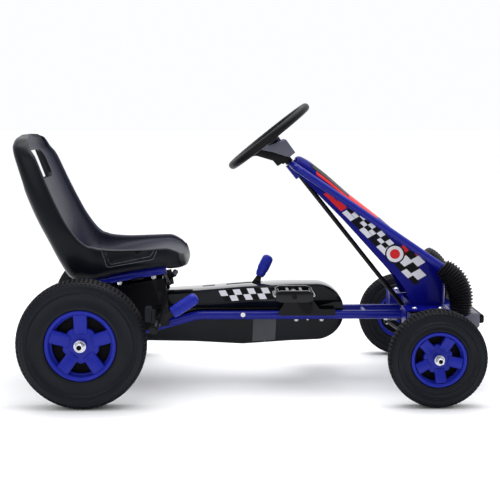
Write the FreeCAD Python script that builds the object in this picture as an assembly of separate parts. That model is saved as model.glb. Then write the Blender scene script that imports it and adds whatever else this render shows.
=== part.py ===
import FreeCAD, Part

# A child's pedal go kart: four wheels, two frame rails, a chain case with the pedal crank, a
# sliding bucket seat, a front hoop with a fairing, and a steering wheel that turns the front wheels.
#
# Frame: +X is the direction of travel, +Y is the driver's left, +Z is up, in millimetres.
# Lengths in this script are measured forward from the rear axle. save() moves every solid back by
# MIDDLE_X, so that the part's origin is on the ground under the middle of the kart.

import math
import os

V = FreeCAD.Vector
X_AXIS = V(1, 0, 0)
Y_AXIS = V(0, 1, 0)
Z_AXIS = V(0, 0, 1)
SIDES = {"right": -1, "left": 1}

# ---------------------------------------------------------------- driving dimensions

REAR_END_X = -155.0
FRONT_END_X = 829.0
MIDDLE_X = (REAR_END_X + FRONT_END_X) / 2
FIT = 0.05                      # radial clearance of a running fit
GAP = 0.4                       # space between faces that pass each other
SHEET = 3.0                     # wall of the plastic covers
PLATE = 4.0                     # thickness of the folded steel brackets
TUBE_WALL = 1.5                 # steel wall of the rails, the hoop and the seat tubes

# wheels
WHEELBASE = 708.8
REAR_TYRE_R, REAR_RIM_R, REAR_TYRE_W = 130.0, 71.0, 60.0
FRONT_TYRE_R, FRONT_RIM_R, FRONT_TYRE_W = 99.3, 56.0, 50.0
REAR_TRACK_Y, FRONT_TRACK_Y = 245.0, 250.0
AXLE_END_Y = 287.0
REAR_AXLE_R, STUB_R = 7.0, 6.0
SPOKES = 5
NUT_FLATS, NUT_H, WASHER_R, WASHER_T = 19.0, 9.0, 13.0, 2.0
CENTRE_HOLE = 10.0              # depth of the drilled hole in each axle end

# frame
RAIL_R, RAIL_Y, RAIL_Z = 9.5, 38.0, 149.5
RAIL_BEND_X, RAIL_LOW_X, RAIL_LOW_Z, RAIL_REAR_X = 225.0, 60.0, 104.0, -45.0
RAIL_BEND_R = 90.0
STAY_R, REAR_STAY_X, MIDDLE_STAY_X = 6.0, -38.0, 590.0
CROSS_TUBE_R, CROSS_TUBE_X, CROSS_TUBE_Z, CROSS_TUBE_Y = 8.0, 796.0, 153.0, 128.0
HOOP_R = 8.0
HOOP_TOP = V(431, 38.3, 473.8)
HOOP_TOP_R = 26.0
HOOP_LOW = V(790, 118.4, 230.4)
HOOP_LOW_R = 86.0
SLEEVE_R = 18.5

# steering
STEER_TILT = math.radians(51.4)
STEER_DIR = V(math.cos(STEER_TILT), 0, -math.sin(STEER_TILT))
STEER_UP = V(math.sin(STEER_TILT), 0, math.cos(STEER_TILT))
WHEEL_CENTRE = V(380, 0, 535.3)
SHAFT_R = 5.0
SHAFT_FOOT = 490.0              # wheel plane to the foot bearing, along the shaft
SHAFT_END = 516.0
RING_R, RING_SECTION_R = 100.5, 8.5
PITMAN_AT, PITMAN_R, KNUCKLE_ARM = 510.0, 36.0, 45.0
PEG_R, PEG_L, EYE_DROPS = 3.0, 34.0, {"right": 21.0, "left": 14.0}
KINGPIN_Y, KINGPIN_R = 140.0, 6.0
TIE_ROD_R, TIE_EYE_R, TIE_HOLE_R = 4.0, 14.0, 9.5

# drive
CRANK_X, CRANK_Z = 461.0, 168.0
CRANK_R, CRANK_ARM, CRANK_ANGLE = 7.0, 50.4, math.radians(129.4)
CRANK_ARM_Y, CRANK_ARM_T = 58.0, 6.0
CRANK_SCREWS = ((439.0, 6.0), (464.0, 3.6), (494.0, 6.0))     # x and the radius of the domed head
CRANK_SCREW_L = 18.0
SADDLE_X0, SADDLE_X1, SADDLE_Y = 403.0, 523.0, 50.0
CRANK_PLATE = [(398, 152), (416, 184), (474, 184), (498, 152)]
CHAIN_PITCH, CRANK_TEETH, AXLE_TEETH = 12.7, 20, 12
CHAIN_Y, CHAIN_W, CHAIN_H = 14.0, 7.0, 8.0
SPROCKET_T, CHAIN_PINS = 3.0, 8
PEDAL_L, PEDAL_W, PEDAL_H, PEDAL_Y = 88.0, 80.0, 24.0, 108.0

# chain case
CASE_HALF_W, CASE_LOW_HALF_W = 42.0, 27.0
CASE_SPLIT_Z, CASE_JOINT_X = 176.0, 371.0
CASE_FRONT = V(482, 0, 154)
CASE_FRONT_R = 63.0

# seat
SEAT_TILT = math.radians(10)
SEAT_ORIGIN = V(85, 0, 247.3)
SEAT_S = V(math.cos(SEAT_TILT), 0, math.sin(SEAT_TILT))
SEAT_T = V(-math.sin(SEAT_TILT), 0, math.cos(SEAT_TILT))
SEAT_TUBE_R, SEAT_TUBE_Y, SEAT_TUBE_HALF = 9.5, 110.0, 77.0
SEAT_BOLTS_S = (-24.0, 48.6)
SEAT_WALL = 6.0

PEDESTAL_FRONT, PEDESTAL_REAR, CHEEK_Y = 60.0, -80.0, 47.5
PEDESTAL_BOLTS = [(35, 112), (140, 134)]

# levers
LOCK_LEAN = math.radians(58)
GEAR_PIVOT = V(323, 0, 152)
GEAR_LEAN = math.radians(64.6)
BRAKE_PIVOT = V(144, 0, 160)
BRAKE_LEAN = math.radians(33)
BRAKE_LEVER_Y = -190.0


# ---------------------------------------------------------------- geometry helpers

def save(name, *solids):
    """Write one node: each solid moved so that the kart's middle is at X = 0."""
    shapes = []
    for solid in solids:
        for piece in solid.Solids:
            piece = piece.copy()
            piece.translate(V(-MIDDLE_X, 0, 0))
            shapes.append(piece)
    shape = shapes[0] if len(shapes) == 1 else Part.makeCompound(shapes)
    shape.exportStep("parts/%s.step" % name)


def rod(start, end, radius):
    return Part.makeCylinder(radius, (end - start).Length, start, end - start)


def ring(start, end, outer, inner):
    return rod(start, end, outer).cut(rod(start, end, inner))


def block(x0, x1, y0, y1, z0, z1):
    low = V(min(x0, x1), min(y0, y1), min(z0, z1))
    return Part.makeBox(abs(x1 - x0), abs(y1 - y0), abs(z1 - z0), low)


def prism(points, direction):
    """Extrude a closed outline of points along a vector."""
    return Part.Face(Part.makePolygon(points + points[:1])).extrude(direction)


def side_prism(outline, y0, y1):
    """Extrude an (x, z) outline from y0 to y1."""
    return prism([V(x, y0, z) for x, z in outline], V(0, y1 - y0, 0))


def plan_prism(outline, z0, z1):
    """Extrude an (x, y) outline from z0 to z1."""
    return prism([V(x, y, z0) for x, y in outline], V(0, 0, z1 - z0))


def bent_path(points, radii):
    """Straight runs joined by tangent arcs, as one wire."""
    edges = []
    start = points[0]
    for before, corner, after, radius in zip(points, points[1:], points[2:], radii):
        into = (corner - before).normalize()
        out = (after - corner).normalize()
        turn = into.getAngle(out)
        reach = radius * math.tan(turn / 2)
        first = corner - into * reach
        last = corner + out * reach
        inward = (out - into).normalize()
        middle = corner + inward * (radius / math.cos(turn / 2) - radius)
        edges.append(Part.LineSegment(start, first).toShape())
        edges.append(Part.Arc(first, middle, last).toShape())
        start = last
    edges.append(Part.LineSegment(start, points[-1]).toShape())
    return Part.Wire(edges)


def bent_rod(points, radii, radius):
    path = bent_path(points, radii)
    circle = Part.Wire(Part.makeCircle(radius, points[0], points[1] - points[0]))
    return path.makePipeShell([circle], True, False)


def hexagon(centre, direction, flats, height):
    """A hexagonal nut or bolt head."""
    side = direction.cross(X_AXIS)
    if side.Length < 0.1:
        side = direction.cross(Y_AXIS)
    side.normalize()
    other = direction.cross(side)
    reach = flats / math.sqrt(3)
    corners = []
    for k in range(6):
        angle = math.radians(60 * k)
        corners.append(centre + side * (reach * math.cos(angle)) + other * (reach * math.sin(angle)))
    return prism(corners, direction * height)


def dome_bolt(head, direction, length, radius=4.0):
    """A cup-headed bolt whose head bears at `head` and whose shank runs along `direction`."""
    shank = rod(head, head + direction * length, radius)
    cap = Part.makeSphere(2.1 * radius, head, direction * -1, 0, 90, 360)
    nut = hexagon(head + direction * (length - 1.6 * radius), direction, 3.2 * radius, 1.4 * radius)
    return shank.fuse([cap, nut])


def spun(outline, centre, axis=Y_AXIS):
    """Turn an (r, y) outline once round an axis along Y through a centre."""
    points = [V(centre.x, centre.y + y, centre.z + r) for r, y in outline]
    return Part.Face(Part.makePolygon(points + points[:1])).revolve(centre, axis, 360)


def on_shaft(distance, up=0.0, side=0.0):
    """A point `distance` down the steering shaft, `up` in the wheel's plane, `side` to the left."""
    return WHEEL_CENTRE + STEER_DIR * distance + STEER_UP * up + Y_AXIS * side


def on_seat(s, y, t):
    """A point in the seat's own sloping frame."""
    return SEAT_ORIGIN + SEAT_S * s + Y_AXIS * y + SEAT_T * t


def seat_block(s0, s1, y0, y1, t0, t1):
    base = [on_seat(s0, y0, t0), on_seat(s1, y0, t0), on_seat(s1, y1, t0), on_seat(s0, y1, t0)]
    return prism(base, SEAT_T * (t1 - t0))


def pitch_radius(teeth):
    return CHAIN_PITCH / 2 / math.sin(math.pi / teeth)


# ---------------------------------------------------------------- wheels

def tyre(centre, outer, inner, width):
    """A tyre with rounded shoulders and a bead that grips the rim."""
    half = width / 2
    wall = outer - inner
    outline = [
        (inner, -half + 6), (inner + 0.15 * wall, -half + 3), (inner + 0.45 * wall, -half + 1),
        (inner + 0.65 * wall, -half), (inner + 0.86 * wall, -half + 3), (outer - 2, -half + 10),
        (outer, -half + 20), (outer, half - 20), (outer - 2, half - 10),
        (inner + 0.86 * wall, half - 3), (inner + 0.65 * wall, half), (inner + 0.45 * wall, half - 1),
        (inner + 0.15 * wall, half - 3), (inner, half - 6),
    ]
    return spun(outline, centre)


def rim(centre, radius, width, bore, hub_in, hub_out, side):
    """A spoked plastic rim; the hub runs from hub_in to hub_out along the axle."""
    half = width / 2 - 6
    barrel = ring(centre - Y_AXIS * half, centre + Y_AXIS * half, radius, radius - 7)
    face = centre + Y_AXIS * (side * (half - 12))
    disc = ring(face, face + Y_AXIS * (side * 8), radius - 5, 15)
    back = face - Y_AXIS * (side * 14)
    web = ring(back, back + Y_AXIS * (side * 3), radius - 5, 15)
    inner_r, outer_r = 0.46 * radius, radius - 14
    for k in range(SPOKES):
        angle = 2 * math.pi * (k + 0.5) / SPOKES + math.pi / 2
        spread = math.pi / SPOKES * 0.55
        window = []
        for r, a in ((inner_r, -0.4), (outer_r, -1), (outer_r + 2, 0), (outer_r, 1), (inner_r, 0.4)):
            bearing = angle + a * spread
            window.append(V(centre.x + r * math.cos(bearing), centre.y - width,
                            centre.z + r * math.sin(bearing)))
        disc = disc.cut(prism(window, Y_AXIS * (2 * width)))
    hub = rod(V(centre.x, hub_in, centre.z), V(centre.x, hub_out, centre.z), 17)
    hole = rod(V(centre.x, -2 * AXLE_END_Y, centre.z), V(centre.x, 2 * AXLE_END_Y, centre.z), bore)
    return barrel.fuse([disc, web, hub]).cut(hole)


def axle_nut(x, z, side, bore):
    """A washer and a hexagonal nut on the end of an axle."""
    base = side * (AXLE_END_Y - 3 - NUT_H)
    washer = rod(V(x, base - side * WASHER_T, z), V(x, base, z), WASHER_R)
    nut = hexagon(V(x, base, z), Y_AXIS * side, NUT_FLATS, NUT_H)
    hole = rod(V(x, -2 * AXLE_END_Y, z), V(x, 2 * AXLE_END_Y, z), bore)
    return washer.fuse(nut).cut(hole)


def make_wheels():
    hub_out = AXLE_END_Y - 3 - NUT_H - WASHER_T - GAP
    for name, side in SIDES.items():
        rear = V(0, side * REAR_TRACK_Y, REAR_TYRE_R)
        front = V(WHEELBASE, side * FRONT_TRACK_Y, FRONT_TYRE_R)
        rear_bore = REAR_AXLE_R if side < 0 else REAR_AXLE_R + FIT
        save("rear_tyre_" + name, tyre(rear, REAR_TYRE_R, REAR_RIM_R, REAR_TYRE_W))
        save("rear_rim_" + name, rim(rear, REAR_RIM_R, REAR_TYRE_W, rear_bore,
                                     side * 205, side * hub_out, side))
        save("front_tyre_" + name, tyre(front, FRONT_TYRE_R, FRONT_RIM_R, FRONT_TYRE_W))
        save("front_rim_" + name, rim(front, FRONT_RIM_R, FRONT_TYRE_W, STUB_R + FIT,
                                      side * 214, side * hub_out, side))
        save("front_nut_" + name, axle_nut(WHEELBASE, FRONT_TYRE_R, side, STUB_R))
    save("rear_axle_nuts", *[axle_nut(0, REAR_TYRE_R, side, REAR_AXLE_R) for side in (-1, 1)])


# ---------------------------------------------------------------- frame

def hoop_leg(side, radius):
    """One leg of the front hoop, from the middle of its crown down to the bumper tube."""
    top = V(HOOP_TOP.x, side * HOOP_TOP.y, HOOP_TOP.z)
    low = V(HOOP_LOW.x, side * HOOP_LOW.y, HOOP_LOW.z)
    route = [V(top.x, side * 4, top.z), top, low, V(low.x, low.y, CROSS_TUBE_Z)]
    return bent_rod(route, [HOOP_TOP_R, HOOP_LOW_R], radius)


def rail_tube(side, radius=RAIL_R):
    """One main rail: level in front, then bent down and level again under the rear axle."""
    y = side * RAIL_Y
    route = [V(CROSS_TUBE_X, y, RAIL_Z), V(RAIL_BEND_X, y, RAIL_Z),
             V(RAIL_LOW_X, y, RAIL_LOW_Z), V(RAIL_REAR_X, y, RAIL_LOW_Z)]
    return bent_rod(route, [RAIL_BEND_R, RAIL_BEND_R], radius)


def dome_screw(head, direction, length, radius, cap):
    """A screw whose domed head bears at `head` and whose shank runs along `direction`."""
    dome = Part.makeSphere(cap, head, direction * -1, 0, 90, 360)
    return rod(head, head + direction * length, radius).fuse(dome)


def bracket_bolts():
    """Screws that hold the crank brackets and the seat pedestal, and the gear lever's pivot."""
    bolts = []
    for side in (-1, 1):
        for x, cap in CRANK_SCREWS:
            head = V(x, side * RAIL_Y, RAIL_Z - RAIL_R)
            bolts.append(dome_screw(head, Z_AXIS, CRANK_SCREW_L, cap / 2, cap))
        for x, z in PEDESTAL_BOLTS:
            outer = CHEEK_Y + 2 * PLATE if side < 0 and x > 100 else CHEEK_Y + PLATE
            bolts.append(dome_screw(V(x, side * outer, z), Y_AXIS * -side, outer - CHEEK_Y + 8, 3, 6.3))
    pivot = rod(GEAR_PIVOT - Y_AXIS * 52, GEAR_PIVOT + Y_AXIS * 52, 4)
    caps = [rod(GEAR_PIVOT + Y_AXIS * (side * 48), GEAR_PIVOT + Y_AXIS * (side * 52), 5) for side in (-1, 1)]
    bolts.append(pivot.fuse(caps))
    return bolts


def make_frame():
    front_tube = rod(V(CROSS_TUBE_X, -CROSS_TUBE_Y, CROSS_TUBE_Z),
                     V(CROSS_TUBE_X, CROSS_TUBE_Y, CROSS_TUBE_Z), CROSS_TUBE_R)
    bolts = bracket_bolts()
    save("frame_bolts", *bolts)
    rails = []
    for side in (-1, 1):
        core = rail_tube(side, RAIL_R - TUBE_WALL)
        rails.append(rail_tube(side).cut([core, front_tube] + bolts))
    save("main_rails", *rails)

    def stay(x, z):
        """A cross rod between the two rails."""
        rails_here = [rod(V(x - 60, y, z), V(x + 60, y, z), RAIL_R) for y in (-RAIL_Y, RAIL_Y)]
        return rod(V(x, -RAIL_Y, z), V(x, RAIL_Y, z), STAY_R).cut(rails_here)

    rear = stay(REAR_STAY_X, RAIL_LOW_Z)
    middle = stay(MIDDLE_STAY_X, RAIL_Z)
    bore = rod(V(CROSS_TUBE_X, -200, CROSS_TUBE_Z), V(CROSS_TUBE_X, 200, CROSS_TUBE_Z),
               CROSS_TUBE_R - TUBE_WALL)
    save("cross_tubes", front_tube.cut(bore), middle, rear)

    head = ring(on_shaft(74), on_shaft(110), 12, SHAFT_R + FIT)
    foot = ring(on_shaft(SHAFT_FOOT - 10), on_shaft(SHAFT_FOOT + 10), 10, SHAFT_R + FIT)
    save("steering_bearings", head, foot)

    head_tool = rod(on_shaft(70), on_shaft(114), 12)
    legs = []
    sleeves = []
    for side in (-1, 1):
        core = hoop_leg(side, HOOP_R - TUBE_WALL)
        legs.append(hoop_leg(side, HOOP_R).cut([core, head_tool, front_tube]))
        top = V(HOOP_TOP.x, side * HOOP_TOP.y, HOOP_TOP.z)
        low = V(HOOP_LOW.x, side * HOOP_LOW.y, HOOP_LOW.z)
        along = (low - top).normalize()
        hose_start = low - along * 60
        hose = [hose_start, low, V(low.x, low.y, CROSS_TUBE_Z + CROSS_TUBE_R + 3)]
        outer = bent_rod(hose, [HOOP_LOW_R], SLEEVE_R)
        sleeves.append(outer.cut(bent_rod(hose, [HOOP_LOW_R], HOOP_R)))
    save("hoop_tubes", *legs)
    save("hose_sleeves", *sleeves)


def make_axle_beam():
    """A dog-bone beam folded down along its edges, with a wide pad at each end."""
    pad_x, waist_x, top_z, low_z = 48.0, 25.0, 178.0, 142.0

    def outline(inset, end):
        pad, waist = pad_x - inset, waist_x - inset
        right = [(-pad, -end), (pad, -end), (pad, -88), (waist, -66), (waist, 66), (pad, 88), (pad, end),
                 (-pad, end), (-pad, 88), (-waist, 66), (-waist, -66), (-pad, -88)]
        return [(WHEELBASE + x, y) for x, y in right]

    beam = plan_prism(outline(0, 146), low_z, top_z)
    beam = beam.cut(plan_prism(outline(SHEET, 150), low_z - 1, top_z - SHEET))
    rail_tools = [rod(V(600, y, RAIL_Z), V(CROSS_TUBE_X, y, RAIL_Z), RAIL_R) for y in (-RAIL_Y, RAIL_Y)]
    bearing = rod(on_shaft(SHAFT_FOOT - 60), on_shaft(SHAFT_END + 20), 10)
    drill = []
    for dx in (-27, 27):
        for y in (-130, 130):
            drill.append(rod(V(WHEELBASE + dx, y, 160), V(WHEELBASE + dx, y, 190), 4))
    beam = beam.cut(rail_tools + [bearing] + drill)
    save("front_axle_beam", beam)

    brackets = []
    pins = []
    bolts = []
    for side in (-1, 1):
        back_y, out_y = side * 112, side * 156
        x0, x1 = WHEELBASE - 20, WHEELBASE + 20
        top = block(WHEELBASE - 40, WHEELBASE + 40, back_y, side * 145, 171, top_z - SHEET)
        cheek = block(x0, x1, back_y, back_y + side * PLATE, 78, 171)
        low = block(x0, x1, back_y, out_y, 78, 82)
        pin = V(WHEELBASE, side * KINGPIN_Y, 0)
        hole = rod(pin + Z_AXIS * 60, pin + Z_AXIS * 172, KINGPIN_R)
        brackets.append(top.fuse([cheek, low]).cut([hole] + drill))
        head = hexagon(pin + Z_AXIS * 72, Z_AXIS, 17, 6)
        pins.append(rod(pin + Z_AXIS * 73, pin + Z_AXIS * 171, KINGPIN_R).fuse(head))
        for dx in (-27, 27):
            bolts.append(dome_bolt(V(WHEELBASE + dx, side * 130, top_z), Z_AXIS * -1, 17))
    save("kingpin_brackets", *brackets)
    save("kingpins", *pins)
    save("beam_bolts", *bolts)


def make_bumper():
    half = 132.0
    outline = [(791, 165), (799, 168.5), (816, 168.5), (819, 160), (819, 142), (813, 136), (803, 136.5),
               (803, 146), (796, 162)]
    slot = rod(V(CROSS_TUBE_X, -half - 1, CROSS_TUBE_Z), V(CROSS_TUBE_X, half + 1, CROSS_TUBE_Z),
               CROSS_TUBE_R)
    legs = []
    for side in (-1, 1):
        low = V(HOOP_LOW.x, side * HOOP_LOW.y, CROSS_TUBE_Z)
        legs.append(rod(low, low + Z_AXIS * 60, HOOP_R))
        legs.append(rod(low + Z_AXIS * (CROSS_TUBE_R + 2), low + Z_AXIS * 60, SLEEVE_R + GAP))
    save("bumper_bar", side_prism(outline, -half, half).cut([slot] + legs))
    strip = block(819, FRONT_END_X, -half + 4, half - 4, 146, 165)
    edges = [edge for edge in strip.Edges if abs(edge.CenterOfMass.x - FRONT_END_X) < 0.1]
    save("bumper_strip", strip.makeFillet(3, edges))


def hood_section(x, half_w, top, shoulder, bottom, inset):
    """One cross-section of the fairing: crowned top, rounded shoulders and near-upright sides."""
    w, b = half_w - inset, bottom - (10 if inset else 0)
    t, s = top - inset, shoulder - inset
    outline = [(-w, b), (-w, s - 14), (-0.93 * w, s - 4), (-0.8 * w, s), (-0.4 * w, t - 0.2 * (t - s)),
               (0, t), (0.4 * w, t - 0.2 * (t - s)), (0.8 * w, s), (0.93 * w, s - 4), (w, s - 14), (w, b)]
    points = [V(x, y, z) for y, z in outline]
    return Part.makePolygon(points + points[:1])


def make_fairing():
    """The painted hood between the two legs of the hoop, open underneath and at the back."""
    stations = [
        (437, 31, 488, 478, 452), (465, 36, 483, 470, 437), (504, 44, 455, 442, 408),
        (560, 56, 402, 396, 340), (620, 69, 355, 351, 272), (645, 74, 336, 332, 250),
        (668, 80, 319, 315, 180), (712, 87, 284, 282, 180), (744, 84, 260, 255, 180),
        (757, 78, 248, 240, 180),
    ]

    def shell(inset, grow):
        wires = []
        for k, (x, w, top, shoulder, bottom) in enumerate(stations):
            if k == 0:
                x -= grow
            if k == len(stations) - 1:
                x -= 3 * inset / SHEET if inset else 0
            wires.append(hood_section(x, w, top, shoulder, bottom, inset))
        return Part.makeLoft(wires, True, True)

    hood = shell(0, 0).cut(shell(SHEET, 5))
    floor = block(WHEELBASE - 60, WHEELBASE + 80, -110, 110, 170, 178.4)
    legs = [hoop_leg(side, HOOP_R) for side in (-1, 1)]
    hood = hood.cut([floor, rod(on_shaft(60), on_shaft(130), 12.5)] + legs)
    save("front_fairing", max(hood.Solids, key=lambda solid: solid.Volume))


# ---------------------------------------------------------------- steering

def make_steering():
    ring_shape = Part.makeTorus(RING_R, RING_SECTION_R, WHEEL_CENTRE, STEER_DIR)
    spokes = []
    for angle in (0, 180, 270):
        out = Y_AXIS * math.cos(math.radians(angle)) + STEER_UP * math.sin(math.radians(angle))
        across = out.cross(STEER_DIR)
        near = on_shaft(14) + out * 20
        far = on_shaft(1) + out * (RING_R - 3)
        wide, narrow = 17, 12
        sections = []
        for middle, half, depth in ((near, wide, 8), (far, narrow, 6)):
            left, right = middle + across * half, middle - across * half
            sections.append(Part.makePolygon([left, right, right + STEER_DIR * depth,
                                              left + STEER_DIR * depth, left]))
        spokes.append(Part.makeLoft(sections, True, True))
    dish = rod(on_shaft(12), on_shaft(24), 26)
    bore = rod(on_shaft(-20), on_shaft(90), SHAFT_R)
    wheel = ring_shape.fuse(spokes + [dish]).cut(bore)

    def pod(outline, half):
        points = [on_shaft(n, a, -half) for a, n in outline]
        return prism(points, Y_AXIS * (2 * half))

    lower = pod([(-57, 9), (-46, 17), (-26, 46), (-25.5, 62), (6, 62), (0.5, 55.5), (-15, 32), (-34, 9)], 27)
    neck = rod(on_shaft(50), on_shaft(73), 9)
    cover = pod([(-34, 9), (-15, 32), (0.5, 55.5), (6, 62), (23, 62), (24.5, 27), (-20.5, 10)], 30)
    wheel_tool = ring_shape.fuse(spokes + [dish])
    lower = lower.fuse(neck).cut([wheel_tool, bore, cover])
    save("steering_wheel", wheel)
    save("steering_hub", lower)
    save("steering_hub_cover", cover.cut([wheel_tool, bore, neck]))

    arm_dir = STEER_UP * -1
    centre = on_shaft(PITMAN_AT)
    end = centre + arm_dir * PITMAN_R
    arm = prism([centre + Y_AXIS * 9, centre - Y_AXIS * 9, end - Y_AXIS * 7, end + Y_AXIS * 7],
                STEER_DIR * 4)
    eyes = [rod(centre, centre + STEER_DIR * 4, 9), rod(end, end + STEER_DIR * 4, 7)]
    peg = rod(end, end + STEER_DIR * PEG_L, PEG_R)
    shaft = rod(on_shaft(10), on_shaft(SHAFT_END), SHAFT_R)
    save("steering_shaft", shaft.fuse([arm, peg] + eyes))


def make_knuckles():
    arm_end_x = WHEELBASE - KNUCKLE_ARM
    peg = on_shaft(PITMAN_AT) - STEER_UP * PITMAN_R
    for name, side in SIDES.items():
        pin_y = side * KINGPIN_Y
        drop = EYE_DROPS[name]
        rod_z = peg.z - drop
        arm_low, arm_high = rod_z + TIE_ROD_R + GAP, rod_z + TIE_ROD_R + 5
        sleeve = rod(V(WHEELBASE, pin_y, 82 + GAP), V(WHEELBASE, pin_y, 171 - GAP), 11)
        stub = rod(V(WHEELBASE, pin_y, FRONT_TYRE_R), V(WHEELBASE, side * AXLE_END_Y, FRONT_TYRE_R), STUB_R)
        collar = rod(V(WHEELBASE, pin_y + side * 8, FRONT_TYRE_R),
                     V(WHEELBASE, side * (214 - GAP), FRONT_TYRE_R), 9)
        arm = block(arm_end_x, WHEELBASE - 5, pin_y - 8, pin_y + 8, arm_low, arm_high)
        pin = rod(V(arm_end_x, pin_y, rod_z - 6), V(arm_end_x, pin_y, arm_high), PEG_R)
        eye = rod(V(arm_end_x, pin_y, arm_low), V(arm_end_x, pin_y, arm_high), 8)
        bore = rod(V(WHEELBASE, pin_y, 60), V(WHEELBASE, pin_y, 180), KINGPIN_R + FIT)
        centre_hole = rod(V(WHEELBASE, side * (AXLE_END_Y - CENTRE_HOLE), FRONT_TYRE_R),
                          V(WHEELBASE, side * AXLE_END_Y, FRONT_TYRE_R), STUB_R - 1.6)
        knuckle = sleeve.fuse([stub, collar, arm, eye, pin]).cut([bore, centre_hole])
        save("knuckle_" + name, knuckle)

        # The peg leans with the shaft, so each rod's eye sits where the peg crosses its level.
        inner = V(peg.x + drop * STEER_DIR.x / -STEER_DIR.z, 0, rod_z)
        outer = V(arm_end_x, pin_y, rod_z)
        along = (outer - inner).normalize()
        bar = rod(inner + along * (TIE_HOLE_R + 2), outer - along * 6, TIE_ROD_R)
        eye_in = rod(inner - Z_AXIS * 3, inner + Z_AXIS * 3, TIE_EYE_R)
        eye_out = rod(outer - Z_AXIS * 3, outer + Z_AXIS * 3, 8)
        holes = [rod(inner - Z_AXIS * 9, inner + Z_AXIS * 9, TIE_HOLE_R),
                 rod(outer - Z_AXIS * 9, outer + Z_AXIS * 9, PEG_R + FIT)]
        save("tie_rod_" + name, bar.fuse([eye_in, eye_out]).cut(holes))


# ---------------------------------------------------------------- drive

def sprocket(x, z, teeth, bore):
    """A chain sprocket with one tooth per pitch."""
    radius = pitch_radius(teeth)
    points = []
    for k in range(teeth):
        for share, height in ((-0.30, -3.6), (-0.10, 3.4), (0.10, 3.4), (0.30, -3.6)):
            angle = 2 * math.pi * (k + share) / teeth
            r = radius + height
            points.append(V(x + r * math.cos(angle), CHAIN_Y - SPROCKET_T / 2, z + r * math.sin(angle)))
    disc = prism(points, Y_AXIS * SPROCKET_T)
    return disc.cut(rod(V(x, 0, z), V(x, 40, z), bore))


def make_drive():
    big, small = pitch_radius(CRANK_TEETH), pitch_radius(AXLE_TEETH)

    def band(grow):
        """A solid with the outline of a belt round both sprockets."""
        y0, y1 = CHAIN_Y - CHAIN_W / 2, CHAIN_Y + CHAIN_W / 2
        discs = [rod(V(CRANK_X, y0, CRANK_Z), V(CRANK_X, y1, CRANK_Z), big + grow),
                 rod(V(0, y0, REAR_TYRE_R), V(0, y1, REAR_TYRE_R), small + grow)]
        dx, dz = CRANK_X, CRANK_Z - REAR_TYRE_R
        reach, slope = math.hypot(dx, dz), math.atan2(dz, dx)
        lean = math.acos((big - small) / reach)
        outline = []
        for angle, order in ((slope + lean, 1), (slope - lean, -1)):
            pair = [(CRANK_X + (big + grow) * math.cos(math.pi - angle) * -1,
                     CRANK_Z + (big + grow) * math.sin(math.pi - angle)),
                    ((small + grow) * math.cos(math.pi - angle) * -1,
                     REAR_TYRE_R + (small + grow) * math.sin(math.pi - angle))]
            outline += pair[::order]
        return discs[0].fuse([discs[1], side_prism(outline, y0, y1)])

    plates = band(CHAIN_H / 2).cut(band(-CHAIN_H / 2))
    tooth_y = SPROCKET_T / 2 + GAP
    plates = plates.cut(block(-100, 600, CHAIN_Y - tooth_y, CHAIN_Y + tooth_y, 50, 250))
    pins = []
    for k in range(1, CHAIN_PINS + 1):
        share = 0.12 + 0.7 * k / (CHAIN_PINS + 1)
        radius = small + (big - small) * share
        z = REAR_TYRE_R + (CRANK_Z - REAR_TYRE_R) * share
        for sign in (-1, 1):
            pin = V(CRANK_X * share, CHAIN_Y, z + sign * radius * 1.002)
            pins.append(rod(pin - Y_AXIS * (CHAIN_W / 2 + 1), pin + Y_AXIS * (CHAIN_W / 2 + 1), 1.8))
    save("drive_chain", plates.fuse(pins))
    save("drive_sprocket", sprocket(CRANK_X, CRANK_Z, CRANK_TEETH, CRANK_R))
    save("driven_sprocket", sprocket(0, REAR_TYRE_R, AXLE_TEETH, REAR_AXLE_R))
    axle = rod(V(0, -AXLE_END_Y, REAR_TYRE_R), V(0, AXLE_END_Y, REAR_TYRE_R), REAR_AXLE_R)
    holes = [rod(V(0, side * (AXLE_END_Y - CENTRE_HOLE), REAR_TYRE_R), V(0, side * AXLE_END_Y, REAR_TYRE_R),
                 REAR_AXLE_R - 1.8) for side in (-1, 1)]
    save("rear_axle", axle.cut(holes))

    end_y = CRANK_ARM_Y + CRANK_ARM_T / 2
    crank = rod(V(CRANK_X, -end_y, CRANK_Z), V(CRANK_X, end_y, CRANK_Z), CRANK_R)
    for name, side in SIDES.items():
        angle = CRANK_ANGLE if side < 0 else CRANK_ANGLE + math.pi
        reach = V(math.cos(angle), 0, math.sin(angle))
        across = reach.cross(Y_AXIS)
        hub = V(CRANK_X, side * CRANK_ARM_Y, CRANK_Z)
        end = hub + reach * CRANK_ARM
        thick = Y_AXIS * (side * CRANK_ARM_T)
        arm = prism([hub + across * 10, hub - across * 10, end - across * 7.5, end + across * 7.5], thick)
        rounds = [rod(hub, hub + thick, 12), rod(end, end + thick, 9)]
        spindle = rod(end, V(end.x, side * (PEDAL_Y + PEDAL_W / 2 + 3), end.z), 5)
        crank = crank.fuse([arm, spindle] + rounds)
        body = block(end.x - PEDAL_L / 2, end.x + PEDAL_L / 2, side * (PEDAL_Y - PEDAL_W / 2),
                     side * (PEDAL_Y + PEDAL_W / 2), end.z - PEDAL_H / 2, end.z + PEDAL_H / 2)
        corners = [edge for edge in body.Edges
                   if abs(abs(edge.CenterOfMass.x - end.x) - PEDAL_L / 2) < 0.1
                   and abs(abs(edge.CenterOfMass.z - end.z) - PEDAL_H / 2) < 0.1]
        body = body.makeFillet(8, corners)
        bore = rod(V(end.x, -300, end.z), V(end.x, 300, end.z), 5 + FIT)
        save("pedal_" + name, body.cut(bore))
    save("crankshaft", crank)


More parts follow.
